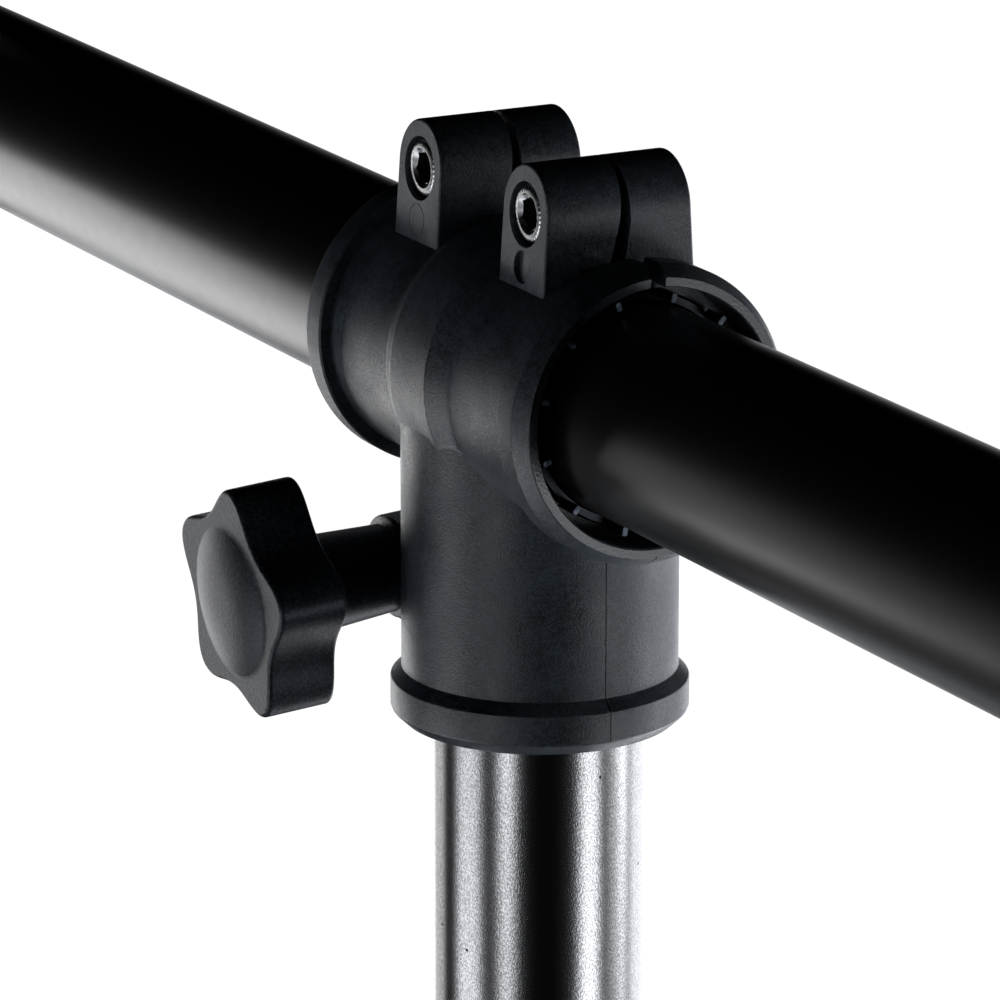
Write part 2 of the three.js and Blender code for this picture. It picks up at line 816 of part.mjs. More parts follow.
function braceHubPiece() {
  const lugs = aroundMast(prism(lugOutline(hub.lugHalfHeight), -hub.lugHalfWidth, hub.lugHalfWidth, 'y'));
  const holes = aroundMast(pinHole(hub.lugHalfWidth).translate([tripod.pivotRadius, 0, 0]));
  const bore = rod(outerTube.radius + runningGap, -hub.below - overrun, hub.above + overrun, 'z', tubeSteps);
  const shell = ringBody(hub.radius, -hub.below, hub.above, hub.edge);
  return piece('brace_hub', carve(fuse([shell, ...lugs]), [bore, ...holes]), materials.casting);
}

const earInner = leg.radius + collar.earGap;
const earOuter = earInner + collar.earThickness;

function legCollarPiece() {
  const ear = prism(lugOutline(hub.lugHalfHeight), earInner, earOuter, 'y');
  const ears = [ear, ear.mirror(acrossY)].flatMap(aroundMast);
  const holes = aroundMast(pinHole(earOuter).translate([tripod.pivotRadius, 0, 0]));
  const place = { tilt: 0, height: collar.knobHeight, azimuth: collar.knobAzimuth };
  const boss = onKnobAxis(knobBoss(mastClamp.bossRadius, collar.bossEnd, headKnob.bossChamfer), place);
  const { radius, below, above } = collar;
  const bore = rod(outerTube.radius + runningGap, -below - overrun, above + overrun, 'z', tubeSteps);
  const shell = ringBody(radius, -below, above, hub.edge);
  const cuts = [bore, onKnobAxis(bossHole(collar.bossEnd), place), ...holes];
  return piece('leg_collar', carve(fuse([shell, boss, ...ears]), cuts), materials.casting);
}

function collarGroup() {
  const knob = group(
    knobSet('collar', collar.bossEnd, outerTube.radius + runningGap),
    [0, 0, collar.knobHeight],
    [quarterTurn, 0, 0],
  );
  const turnedKnob = group([knob], [0, 0, 0], [0, 0, radians(collar.knobAzimuth)]);
  return group([legCollarPiece(), turnedKnob], [0, 0, collarHeight]);
}

function legBody() {
  const tube = pipe(leg.radius - leg.wall, leg.radius, -tripod.legLength, leg.headroom, 'z', legSteps);
  const holes = [0, -tripod.braceLength].map((z) => pinHole(leg.radius).translate([0, 0, z]));
  return carve(tube, holes);
}

// Rubber foot in the frame of its spoke, cut flat where it stands on the floor.
function footBody() {
  const end = -tripod.legLength;
  const cup = rod(foot.radius, end - foot.sole, end + foot.grip, 'z', legSteps);
  const bore = rod(leg.radius + runningGap, end - runningGap, end + foot.grip + overrun, 'z', legSteps);
  const leaned = cup.subtract(bore)
    .rotate([0, -tripod.openAngle, 0])
    .translate([tripod.pivotRadius, 0, collarHeight]);
  const reach = tripod.pivotRadius + tripod.legLength;
  return leaned.subtract(block([0, -reach, -reach], [reach, reach, 0]));
}

// Channel-section brace along +Z from its hub pin to its leg pin, with the web on its -X side.
function braceBody() {
  const { inside, sheet, halfDepth, webBottomCut, webTopCut } = brace;
  const length = tripod.braceLength;
  const top = archPoints(0, length, halfDepth, archSteps);
  const bottom = archPoints(0, 0, halfDepth, archSteps).map(([a, b]) => [-a, -b]);
  const back = -halfDepth - sheet;
  const outline = [
    ...top,
    [-halfDepth, length - webTopCut],
    [back, length - webTopCut],
    [back, webBottomCut],
    [-halfDepth, webBottomCut],
    ...bottom,
  ];
  const flange = prism(outline, inside / 2, inside / 2 + sheet, 'y');
  const webHalfWidth = (inside + sheet) / 2;
  const web = block([back, -webHalfWidth, webBottomCut], [-halfDepth, webHalfWidth, length - webTopCut]);
  const holes = [0, length].map((z) => pinHole(inside / 2 + sheet).translate([0, 0, z]));
  return carve(fuse([flange, flange.mirror(acrossY), web]), holes);
}

// One leg, its foot, its brace and their pins, in the vertical plane of the leg.
function spoke(index) {
  const number = index + 1;
  const lean = radians(tripod.openAngle);
  const legPivot = [tripod.pivotRadius, 0, collarHeight];
  const hubPivot = [tripod.pivotRadius, 0, hubHeight];
  const braceGrip = brace.inside + 2 * brace.sheet;
  const bracePin = piece(`brace_pin_${number}`, pinBody(braceGrip), materials.zinc);
  bracePin.position.z = -tripod.braceLength;
  const legPin = piece(`leg_pin_${number}`, pinBody(2 * earOuter), materials.zinc);
  legPin.position.set(...legPivot);
  const hubPin = piece(`hub_pin_${number}`, pinBody(braceGrip), materials.zinc);
  hubPin.position.set(...hubPivot);
  const pieces = [
    group([piece(`leg_${number}`, legBody(), materials.powderCoat), bracePin], legPivot, [0, -lean, 0]),
    group([piece(`brace_${number}`, braceBody(), materials.powderCoat)], hubPivot, [0, lean, 0]),
    legPin,
    hubPin,
    piece(`foot_${number}`, footBody(), materials.rubber),
  ];
  return group(pieces, [0, 0, 0], [0, 0, radians(spokeAngle(index))]);
}

function tripodGroup() {
  const spokes = Array.from({ length: tripod.legs }, (_, i) => spoke(i));
  return group([group([braceHubPiece()], [0, 0, hubHeight]), collarGroup(), ...spokes]);
}

export default group([headGroup(), barGroup(), mastGroup(), tripodGroup()]);
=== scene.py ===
# %% [markdown]
# # A lighting T-bar stand in Blender
# The stand is a folding tripod, a mast of two tubes, and a moulded T-socket that holds a round
# crossbar for stage lamps. The photograph shows its head: the socket, its star knob, the bar and the
# top of the mast, against a blown-out white background.
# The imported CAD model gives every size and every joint. This lesson gives each part its fine shape
# and its finish, one step at a time.

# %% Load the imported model
import json
import math

import bpy
from mathutils import Matrix, Vector


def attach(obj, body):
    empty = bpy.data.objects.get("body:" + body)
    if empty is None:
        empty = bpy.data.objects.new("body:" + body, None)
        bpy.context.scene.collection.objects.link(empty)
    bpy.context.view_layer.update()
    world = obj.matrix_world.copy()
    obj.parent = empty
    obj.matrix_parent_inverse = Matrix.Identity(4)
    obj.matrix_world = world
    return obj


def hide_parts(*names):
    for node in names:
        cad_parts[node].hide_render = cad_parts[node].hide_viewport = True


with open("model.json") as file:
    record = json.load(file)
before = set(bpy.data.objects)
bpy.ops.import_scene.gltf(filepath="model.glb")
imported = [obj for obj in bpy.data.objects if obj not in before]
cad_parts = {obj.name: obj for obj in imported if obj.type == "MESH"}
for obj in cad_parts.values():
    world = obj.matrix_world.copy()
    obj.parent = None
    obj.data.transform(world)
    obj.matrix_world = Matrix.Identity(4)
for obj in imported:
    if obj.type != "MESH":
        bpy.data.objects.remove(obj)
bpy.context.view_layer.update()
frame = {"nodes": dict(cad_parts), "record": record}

# %% [markdown]
# ## The camera
# The picture was taken with a long lens, slightly above the bar and well round to its right-hand
# end, so the bar is strongly foreshortened. The camera was solved from the crossing of the bar's and
# the mast's centre lines: its turn, its height, its distance and the place of the crossing in the
# frame. The lens follows from the focal length in pixels and Blender's 36 mm sensor.

# %% Camera
MM = 0.001
HEAD = Vector((0, 0, 1.5))
TURN, RISE = math.radians(62.553), math.radians(15.714)
DISTANCE = 1061.438 * MM
FOCAL_PX, FRAME_PX, SENSOR_MM = 6534.776, 1000, 36
CROSSING_PX = (540.318, 363.168)

back = Vector((math.sin(TURN) * math.cos(RISE), -math.cos(TURN) * math.cos(RISE), math.sin(RISE)))
right = Vector((math.cos(TURN), math.sin(TURN), 0))
up = back.cross(right)
pixel = DISTANCE / FOCAL_PX
eye = (
    HEAD
    + back * DISTANCE
    - right * (CROSSING_PX[0] - FRAME_PX / 2) * pixel
    + up * (CROSSING_PX[1] - FRAME_PX / 2) * pixel
)

lens = bpy.data.cameras.new("camera")
lens.lens = FOCAL_PX * SENSOR_MM / FRAME_PX
lens.sensor_width = SENSOR_MM
lens.clip_end = 100
camera = bpy.data.objects.new("camera", lens)
camera.matrix_world = Matrix((right, up, back)).transposed().to_4x4()
camera.location = eye
bpy.context.scene.collection.objects.link(camera)
bpy.context.scene.camera = camera
print("camera at", tuple(round(v, 4) for v in eye), "lens", round(lens.lens, 2), "mm")

# %% [markdown]
# ## Working like a turner
# Nearly every part of the stand is round: tubes, sleeves, collars, bosses, caps. A turner cuts such a
# part from its profile, and so does Blender: one vertex is extruded from point to point along the
# profile, and the chain is spun once round the axis. Profile points are (radius, distance along the
# axis). A short bevel modifier breaks the sharp edges, as moulding and turning do.
# While a part is being made, one Blender unit is a millimetre, because the merging and Boolean tools
# are at their best on shapes a few units across. Handing a part over scales it to metres.

# %% Helpers for round parts
def edit_mode():
    bpy.ops.object.mode_set(mode="EDIT")


def object_mode():
    bpy.ops.object.mode_set(mode="OBJECT")


def clear_selection():
    if bpy.context.object and bpy.context.object.mode == "EDIT":
        object_mode()
    bpy.ops.object.select_all(action="DESELECT")


def pick(obj):
    clear_selection()
    obj.select_set(True)
    bpy.context.view_layer.objects.active = obj
    return obj


SEAM_GAP = 1e-4


def close_seams(obj):
    """Merges what meets, and turns every face outward."""
    pick(obj)
    edit_mode()
    bpy.ops.mesh.select_all(action="SELECT")
    bpy.ops.mesh.remove_doubles(threshold=SEAM_GAP)
    bpy.ops.mesh.normals_make_consistent(inside=False)
    object_mode()
    return obj


def break_edges(obj, width, segments=2, angle=40):
    """Rounds the sharp edges of a clean part by a few tenths of a millimetre."""
    pick(obj)
    soft = obj.modifiers.new("soft edges", "BEVEL")
    soft.width = width
    soft.segments = segments
    soft.limit_method = "ANGLE"
    soft.angle_limit = math.radians(angle)
    bpy.ops.object.modifier_apply(modifier=soft.name)
    return obj


def chain(name, points):
    """Extrudes one vertex from point to point. It ends in edit mode, with the whole chain selected."""
    clear_selection()
    bpy.ops.mesh.primitive_plane_add(size=1)
    obj = bpy.context.object
    obj.name = name
    edit_mode()
    bpy.ops.mesh.select_mode(type="VERT")
    bpy.ops.mesh.select_all(action="SELECT")
    bpy.ops.mesh.merge(type="CENTER")
    at = Vector((0, 0, 0))
    for number, point in enumerate(points):
        step = point - at
        at += step
        if number == 0:
            bpy.ops.transform.translate(value=step)
        else:
            bpy.ops.mesh.extrude_vertices_move(TRANSFORM_OT_translate={"value": step})
    bpy.ops.mesh.select_all(action="SELECT")
    return obj


def turned(name, profile, steps, soft=0.0):
    """Spins a profile of (radius, height) points round Z."""
    obj = chain(name, [Vector((radius, 0, height)) for radius, height in profile])
    bpy.ops.mesh.spin(steps=steps, angle=math.tau, center=(0, 0, 0), axis=(0, 0, 1))
    object_mode()
    close_seams(obj)
    return break_edges(obj, soft) if soft else obj


def put(obj, place=(0, 0, 0), turn=(0, 0, 0)):
    """Turns a part by degrees about X, Y and Z, moves it, and applies both to the mesh."""
    pick(obj)
    for axis, angle in zip("XYZ", turn):
        spun = Matrix.Rotation(math.radians(angle), 4, axis)
        obj.matrix_world = spun @ obj.matrix_world
    obj.matrix_world = Matrix.Translation(place) @ obj.matrix_world
    bpy.ops.object.transform_apply(location=True, rotation=True, scale=True)
    return obj


ALONG_X = (0, 90, 0)
print("turning helpers ready")

# %% [markdown]
# ## Joining and cutting
# The T-socket is one moulding, but it is easiest to think of as simple solids that are joined, with
# bores and slots cut from it afterwards. The Boolean modifier does both. Each tool is used up.

# %% Helpers for joining, cutting and shading
def combine(body, tool, operation):
    """Applies one Boolean step to the body. The tool is used up."""
    pick(body)
    step = body.modifiers.new(operation, "BOOLEAN")
    step.operation = operation
    step.solver = "MANIFOLD"
    step.object = tool
    bpy.ops.object.modifier_apply(modifier=step.name)
    bpy.data.objects.remove(tool)
    return body


def join(body, *others):
    for other in others:
        combine(body, other, "UNION")
    return body


def cut(body, *tools):
    for tool in tools:
        combine(body, tool, "DIFFERENCE")
    return body


def block(name, low, high, soft=0.0):
    """A box between two corners."""
    clear_selection()
    size = [b - a for a, b in zip(low, high)]
    middle = [(a + b) / 2 for a, b in zip(low, high)]
    bpy.ops.mesh.primitive_cube_add(size=1, location=middle, scale=size)
    obj = bpy.context.object
    obj.name = name
    bpy.ops.object.transform_apply(location=True, rotation=True, scale=True)
    return break_edges(obj, soft) if soft else obj


def rod(name, radius, low, high, steps, soft=0.0):
    """A solid cylinder round Z."""
    return turned(name, [(0, low), (radius, low), (radius, high), (0, high)], steps, soft)


# Where the two numbers of an outline's point go, when a plate is pulled along X or along Y.
SPREAD = {"x": lambda a, b: (0, a, b), "y": lambda a, b: (a, 0, b)}


def plate(name, outline, low, high, axis, soft=0.0, segments=2):
    """Fills an outline and pulls it from low to high along the X or the Y axis."""
    along = Vector([axis == letter for letter in "xyz"])
    obj = chain(name, [Vector(SPREAD[axis](*point)) + along * low for point in outline])
    bpy.ops.mesh.edge_face_add()
    bpy.ops.mesh.extrude_region_move(TRANSFORM_OT_translate={"value": along * (high - low)})
    object_mode()
    close_seams(obj)
    return break_edges(obj, soft, segments) if soft else obj


def arc(centre, radius, start, end, steps):
    """Points of an arc, from one angle in degrees to another."""
    angles = [math.radians(start + (end - start) * i / steps) for i in range(steps + 1)]
    return [(centre[0] + radius * math.cos(a), centre[1] + radius * math.sin(a)) for a in angles]


def smooth(obj, angle=30):
    """Smooth shading that follows the large faces, with sharp edges kept."""
    pick(obj)
    bpy.ops.object.shade_smooth_by_angle(angle=math.radians(angle))
    weighted = obj.modifiers.new("weighted normals", "WEIGHTED_NORMAL")
    weighted.keep_sharp = True
    bpy.ops.object.modifier_apply(modifier=weighted.name)
    return obj


def copied(obj, name):
    """A copy with a mesh of its own."""
    twin = obj.copy()
    twin.data = obj.data.copy()
    twin.name = name
    bpy.context.scene.collection.objects.link(twin)
    return twin


print("joining helpers ready")

# %% [markdown]
# ## Shader maths as expressions
# A material is a small calculation. One class wraps a node's output socket, so that noise * 0.5 + 0.2
# adds the Math nodes by itself, and any other node comes from one method.

# %% Sockets as numbers
class Sum:
    """An output socket that works like a number."""

    def __init__(self, tree, socket):
        self.tree, self.socket = tree, socket

    def node(self, kind, settings=None, out=0, **inputs):
        """Adds a node. Its sockets are given by name, or as i0, i1 and so on by their number."""
        made = self.tree.nodes.new(kind)
        for key, value in (settings or {}).items():
            setattr(made, key, value)
        for key, value in inputs.items():
            numbered = key[0] == "i" and key[1:].isdigit()
            socket = made.inputs[int(key[1:]) if numbered else key.replace("_", " ")]
            if isinstance(value, Sum):
                self.tree.links.new(value.socket, socket)
            else:
                socket.default_value = value
        return Sum(self.tree, made.outputs[out])

    def maths(self, operation, other, flip=False):
        first, second = (other, self) if flip else (self, other)
        return self.node("ShaderNodeMath", {"operation": operation}, i0=first, i1=second)

    def __add__(self, other):
        return self.maths("ADD", other)

    def __radd__(self, other):
        return self.maths("ADD", other, True)

    def __sub__(self, other):
        return self.maths("SUBTRACT", other)

    def __rsub__(self, other):
        return self.maths("SUBTRACT", other, True)

    def __mul__(self, other):
        return self.maths("MULTIPLY", other)

    def __rmul__(self, other):
        return self.maths("MULTIPLY", other, True)

    def __abs__(self):
        return self.node("ShaderNodeMath", {"operation": "ABSOLUTE"}, i0=self)

    def fade(self, low, high):
        """0 below low, 1 above high, smooth between."""
        settings = {"interpolation_type": "SMOOTHSTEP", "clamp": True}
        return self.node("ShaderNodeMapRange", settings, Value=self, From_Min=low, From_Max=high)

    def blend(self, low, high):
        """Colour low where this is 0, and colour high where it is 1."""
        settings = {"data_type": "RGBA", "clamp_factor": True}
        return self.node("ShaderNodeMix", settings, out=2, i0=self, i6=low, i7=high)


def finish_of(name):
    """A new material, its object coordinates and its shader."""
    material = bpy.data.materials.new(name)
    material.use_nodes = True
    tree = material.node_tree
    shader = tree.nodes["Principled BSDF"]
    coords = Sum(tree, tree.nodes.new("ShaderNodeTexCoord").outputs["Object"])
    return material, coords, shader


def noise(coords, scale, detail, rough=0.5):
    """Cloudy noise from 0 to 1, with a scale in features to the metre."""
    return coords.node("ShaderNodeTexNoise", Vector=coords, Scale=scale, Detail=detail, Roughness=rough)


def feed(shader, **values):
    """Gives the shader's own sockets their values or their links."""
    for key, value in values.items():
        socket = shader.inputs[key.replace("_", " ")]
        if isinstance(value, Sum):
            value.tree.links.new(value.socket, socket)
        else:
            socket.default_value = value


def bumped(height, strength, distance):
    """A Bump node, with its distance in millimetres."""
    return height.node("ShaderNodeBump", Height=height, Strength=strength, Distance=distance * MM)


def grey(value, tint=0.0):
    """A grey, which a tint above 0 makes cooler."""
    return (value * (1 - tint), value, value * (1 + tint), 1)


print("shader helpers ready")

# %% [markdown]
# ## The moulded casting
# The T-socket, the clamps and the collars are glass-filled nylon: charcoal, with a sheen, and
# speckled where fibres and flow marks reach the surface. A picture could be wrapped round them, but
# noise on Object coordinates has no seams and no limit to its detail. Three sizes of it give the
# cloudy shade, the swirls of the flow and the fine speckle, and the speckle also lifts the bump.
# The sleeve's two end faces are rubbed smoother and shinier, so they have a finish of their own.

# %% Casting
casting, spot, shader = finish_of("moulded casting")
cloud = noise(spot, 90, 3)
speckle = noise(spot, 3200, 2, 0.6)
swirl = noise(spot, 700, 2)
tone = cloud.fade(0.35, 0.65) * 0.2 + speckle.fade(0.4, 0.62) * 0.6 + swirl.fade(0.4, 0.6) * 0.2
feed(
    shader,
    Base_Color=tone.blend(grey(0.002, 0.3), grey(0.125, 0.25)),
    Roughness=0.3 + cloud.fade(0.35, 0.65) * 0.1 + speckle.fade(0.38, 0.62) * 0.14,
    Normal=bumped(speckle + swirl * 0.2, 0.6, 0.1),
    Specular_IOR_Level=1.0,
)

rubbed, spot, shader = finish_of("rubbed casting")
speckle = noise(spot, 2300, 2)
wear = noise(spot, 160, 3)
feed(
    shader,
    Base_Color=wear.fade(0.35, 0.65).blend(grey(0.02, 0.2), grey(0.06, 0.2)),
    Roughness=0.16 + wear * 0.1 + speckle * 0.08,
    Normal=bumped(speckle, 0.3, 0.06),
    Specular_IOR_Level=1.0,
)
print("casting finishes ready")

# %% [markdown]
# ## Knob, liner and rubber
# The star knobs are a darker plastic than the casting, with a faint bluish gloss, and the bar liner
# and the end caps are a smoother one. The ends of the liner's ribs are coloured pale, as a painted
# highlight. The feet are rubber, dull and dusty. They differ only in their numbers, so one function
# makes them all: a fine grain and a wide cloud for the colour, and the grain again for the bump.

# %% Plastics and rubber
COOL_GLOSS = (0.9, 0.96, 1.1, 1)


def plastic(name, dark, light, rough, grain, bump):
    material, spot, shader = finish_of(name)
    fine = noise(spot, grain, 3, 0.6)
    wide = noise(spot, 45, 2)
    tone = fine.fade(0.45, 0.62) * 0.7 + wide.fade(0.3, 0.7) * 0.3
    feed(
        shader,
        Base_Color=tone.blend(grey(dark, 0.2), grey(light, 0.2)),
        Roughness=rough + wide * 0.1,
        Normal=bumped(fine, bump, 0.08),
        Specular_IOR_Level=0.4,
        Specular_Tint=COOL_GLOSS,
    )
    return material


knob_plastic = plastic("knob plastic", 0.004, 0.07, 0.36, 1700, 0.6)
liner_plastic = plastic("liner plastic", 0.012, 0.02, 0.3, 700, 0.1)
# Painted highlight: the rib ends are coloured pale to stand for the light that they catch.
rib_end_painted_highlight = plastic("whitened rib end", 0.3, 0.8, 0.3, 900, 0.2)
foot_rubber = plastic("foot rubber", 0.012, 0.03, 0.75, 500, 0.5)
print("plastic finishes ready")

# %% [markdown]
# ## Powder coat
# The bar, the outer mast tube, the legs and the braces are powder-coated black. The coat flows out in
# a very fine orange peel, so reflections stay readable but soft. A clear coat over a black base would
# do it too, but one glossy layer with a high refractive index gives the same bright edges at less cost.

# %% Powder coat
COAT_INDEX = 2.05
powder, spot, shader = finish_of("powder coat")
peel = noise(spot, 420, 2)
dust = noise(spot, 1800, 2).fade(0.66, 0.74)
feed(
    shader,
    Base_Color=dust.blend(grey(0.006), grey(0.03)),
    Roughness=0.3 + peel * 0.06 + dust * 0.1,
    Normal=bumped(peel, 0.06, 0.05),
    IOR=COAT_INDEX,
)
print("powder coat ready")

# %% [markdown]
# ## Bright metals
# The inner mast tube is zinc-plated and lightly polished: a bright metal with a fine grain, drawn out
# a little along the tube, and small dark pits. The pits are the spots round the points of a Voronoi
# texture, which are round and far apart, as no noise is. The screws, bolts and pins have a plainer
# zinc, with a haze and fine scuffs. The sockets of the cap screws are coloured nearly black, which is
# painted shade for their deep recesses.

# %% Metals
DRAWN_OUT = (1.0, 1.0, 0.6)
PIT_SCALE = 192.0
tube_zinc, spot, shader = finish_of("satin zinc tube")
drawn = spot.node("ShaderNodeMapping", i0=spot, i3=DRAWN_OUT)
grain = noise(drawn, 4000, 1, 0.6)
cloud = noise(drawn, 600, 2)
pits = 1 - spot.node("ShaderNodeTexVoronoi", Vector=spot, Scale=PIT_SCALE).fade(0.04, 0.06)
plating = (grain.fade(0.35, 0.65) * 0.6 + cloud * 0.4).blend(grey(0.66), grey(0.3))
feed(
    shader,
    Base_Color=pits.blend(plating, grey(0.05)),
    Roughness=0.16 + grain * 0.1 + pits * 0.5,
    Metallic=1.0,
    Normal=bumped(grain - pits, 0.35, 0.05),
)

bright_zinc, spot, shader = finish_of("bright zinc")
haze = noise(spot, 260, 3)
scuff = noise(spot, 1300, 2).fade(0.5, 0.7)
feed(
    shader,
    Base_Color=haze.blend(grey(0.7, 0.01), grey(0.52, 0.01)),
    Roughness=0.2 + haze * 0.15 + scuff * 0.1,
    Metallic=1.0,
    Normal=bumped(scuff, 0.1, 0.05),
)

# Painted shade: the walls of the hexagon sockets are coloured nearly black for the shade of the deep
# recess.
key_painted_shade, spot, shader = finish_of("oiled key recess")
haze = noise(spot, 900, 2)
feed(shader, Base_Color=haze.blend(grey(0.012), grey(0.03)), Roughness=0.35 + haze * 0.2)

brass, spot, shader = finish_of("machined brass")
haze = noise(spot, 300, 2)
feed(
    shader,
    Base_Color=haze.blend((0.62, 0.42, 0.14, 1), (0.48, 0.32, 0.1, 1)),
    Roughness=0.25 + haze * 0.15,
    Metallic=1.0,
    Normal=bumped(haze, 0.08, 0.05),
)
print("metal finishes ready")

# %% [markdown]
# ## Handing a piece over
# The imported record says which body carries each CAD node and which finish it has, so a new piece only
# names the node that it stands for. It is scaled from millimetres to metres, gets that finish and
# rides on that body. The CAD node stays behind it, hidden, for the simulation's collisions.

# %% Handing over
FINISHES = {
    "powder_coat": powder,
    "casting": casting,
    "knob": knob_plastic,
    "liner": liner_plastic,
    "satin_tube": tube_zinc,
    "zinc": bright_zinc,
    "brass": brass,
    "rubber": foot_rubber,
}
slot_of = {part["node"]: part["material_slot"] for part in frame["record"]["subparts"]}
bodies = frame["record"]["behaviour"]["bodies"]
body_of = {node: body for body, nodes in bodies.items() for node in nodes}


def hand_over(obj, node):
    """Scales a piece to metres, and lets it stand for a CAD node, with its finish and on its body."""
    pick(obj)
    obj.scale = (MM, MM, MM)
    bpy.ops.object.transform_apply(location=True, rotation=True, scale=True)
    obj.data.materials.clear()
    obj.data.materials.append(FINISHES[slot_of[node]])
    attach(obj, body_of[node])
    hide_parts(node)
    print(obj.name, "replaces", node, "on", body_of[node], "with", len(obj.data.polygons), "faces")


def refinish(obj, material, test):
    """Gives a second finish to the faces whose centre, in millimetres, and normal pass a test."""
    obj.data.materials.append(material)
    chosen = [face for face in obj.data.polygons if test(face.center / MM, face.normal)]
    for face in chosen:
        face.material_index = 1
    print(obj.name, "has", len(chosen), "faces of", material.name)


def at_head(obj, place=(0, 0, 0)):
    """Lifts a piece that was made round the bar's centre to the height of the head."""
    return put(obj, (place[0], place[1], place[2] + HEAD.z / MM))


for name, node in frame["nodes"].items():
    node.data.materials.clear()
    node.data.materials.append(FINISHES[slot_of[name]])
print("finishes given to", len(frame["nodes"]), "CAD nodes")

# %% [markdown]
# ## The T-socket
# The sleeve that holds the bar has a raised band in its middle and a collar at each end, and the
# socket that stands on the mast has a flange round its mouth, with a sloped upper edge. Two arched
# lugs on top draw the split sleeve together. The socket is split behind, where two ears take the
# star knob's pinch screw. A mesh of one skin could be modelled round all of this, but the moulder's
# own way is shorter: the solids are turned and joined first, and then the bores, the slits and the
# screw pockets are cut.

# %% Sleeve, socket and ears
def mirrored(points):
    """A profile from one end to the middle, followed by its mirror image."""
    return points + [(radius, -along) for radius, along in reversed(points)]


SLEEVE_END = 39.5
sleeve = turned(
    "t_socket_casting",
    mirrored([
        (0, -SLEEVE_END), (22.75, -SLEEVE_END), (23.0, -39.3), (24.3, -36.9), (24.5, -36.4),
        (24.5, -32.1), (24.2, -31.8), (22.5, -31.7), (22.4, -31.5), (22.4, -11.6), (22.5, -10.6),
        (22.9, -9.4), (24, -6.9), (24.25, -6.4), (24.3, -5.9),
    ]),
    steps=144,
)
put(sleeve, turn=ALONG_X)
SOCKET_RADIUS, FLANGE_RADIUS, SOCKET_MOUTH = 22.8, 24.6, -59.6
socket = turned(
    "socket",
    [
        (0, SOCKET_MOUTH), (22.3, SOCKET_MOUTH), (22.7, -59.4), (24.4, -57.8), (FLANGE_RADIUS, -57.3),
        (FLANGE_RADIUS, -52.7), (24.45, -52.4), (22.95, -50.95), (SOCKET_RADIUS, -50.7),
        (SOCKET_RADIUS, 0), (0, 0),
    ],
    steps=144,
)
KNOB_AT, KNOB_TURN = (-26, 0, -38.1), (94.34, 0, 0)
ears = turned(
    "ears",
    [(0, -14), (8.6, -14), (8.8, -13.8), (8.8, 14.2), (8.65, 14.65), (8.2, 14.9), (0, 14.9)],
    steps=64,
)
join(ears, block("bridge", (0, -8.8, -14), (14.6, 8.8, 14.2)))
put(ears, KNOB_AT, KNOB_TURN)
join(sleeve, socket, ears)
print("sleeve, socket and ears joined:", len(sleeve.data.polygons), "faces")

# %% [markdown]
# Each lug is an arch with straight sides, a little thinner at its top, so that it leaves the mould.
# It starts as a lying cylinder, which has the arch's round already. The lower half is bisected away,
# the flat that is left is extruded down into the sleeve, and two slanted bisections give the front
# and rear faces their draft. The rims of those faces are found by their place, and bevelled.

# %% Lugs
LUG_AT, LUG_HALF, LUG_SHOULDER = 18.5, 7.6, 30.5
LUG_BASE, LUG_TOP = 14, 38.1
LUG_FRONT, LUG_REAR = (-13.6, -12), (14.3, 12.9)


def leaning(face, height):
    """Where a lug's drafted face, given by its foot and its top, stands at a height."""
    foot, top = face
    return foot + (top - foot) * (height - LUG_BASE) / (LUG_TOP - LUG_BASE)


def faces_where(obj, test):
    """Selects the faces whose centre and normal pass a test, in edit mode."""
    object_mode()
    for face in obj.data.polygons:
        face.select = test(face.center, face.normal)
    edit_mode()


def lug(centre):
    clear_selection()
    bpy.ops.mesh.primitive_cylinder_add(
        vertices=72, radius=LUG_HALF, depth=40,
        location=(centre, 0, LUG_SHOULDER), rotation=(math.pi / 2, 0, 0),
    )
    obj = bpy.context.object
    obj.name = "lug"
    bpy.ops.object.transform_apply(location=True, rotation=True, scale=True)
    edit_mode()
    bpy.ops.mesh.select_mode(type="FACE")
    bpy.ops.mesh.select_all(action="SELECT")
    bpy.ops.mesh.bisect(
        plane_co=(0, 0, LUG_SHOULDER), plane_no=(0, 0, 1), use_fill=True, clear_inner=True,
    )
    faces_where(obj, lambda middle, normal: normal.z < -0.9)
    down = (0, 0, LUG_BASE - LUG_SHOULDER)
    bpy.ops.mesh.extrude_region_move(TRANSFORM_OT_translate={"value": down})
    for side, (foot, top) in ((-1, LUG_FRONT), (1, LUG_REAR)):
        lean = Vector((0, side * (LUG_TOP - LUG_BASE), -side * (top - foot))).normalized()
        bpy.ops.mesh.select_all(action="SELECT")
        bpy.ops.mesh.bisect(
            plane_co=(0, foot, LUG_BASE), plane_no=lean, use_fill=True, clear_outer=True,
        )
    object_mode()
    close_seams(obj)
    for edge in obj.data.edges:
        ends = [obj.data.vertices[i].co for i in edge.vertices]
        on_face = any(
            all(abs(p.y - leaning(face, p.z)) < 0.01 for p in ends) for face in (LUG_FRONT, LUG_REAR)
        )
        edge.select = on_face and max(p.z for p in ends) > LUG_BASE + 0.1
    edit_mode()
    bpy.ops.mesh.bevel(offset=0.45, segments=3, affect="EDGES")
    object_mode()
    return obj


join(sleeve, lug(-LUG_AT), lug(LUG_AT))
print("lugs joined:", len(sleeve.data.polygons), "faces")

# %% [markdown]
# The bar's bore is wider at its two ends, where the liner's ribs show, and the mast's bore ends below
# the bar. A slit goes up through the sleeve's wall and the lugs, leaning and narrowing towards their
# tops, so that the screws can draw the sleeve together. Each tool that cuts reaches past the surface
# that it opens, because a Boolean on two faces that lie in one plane can leave a skin.

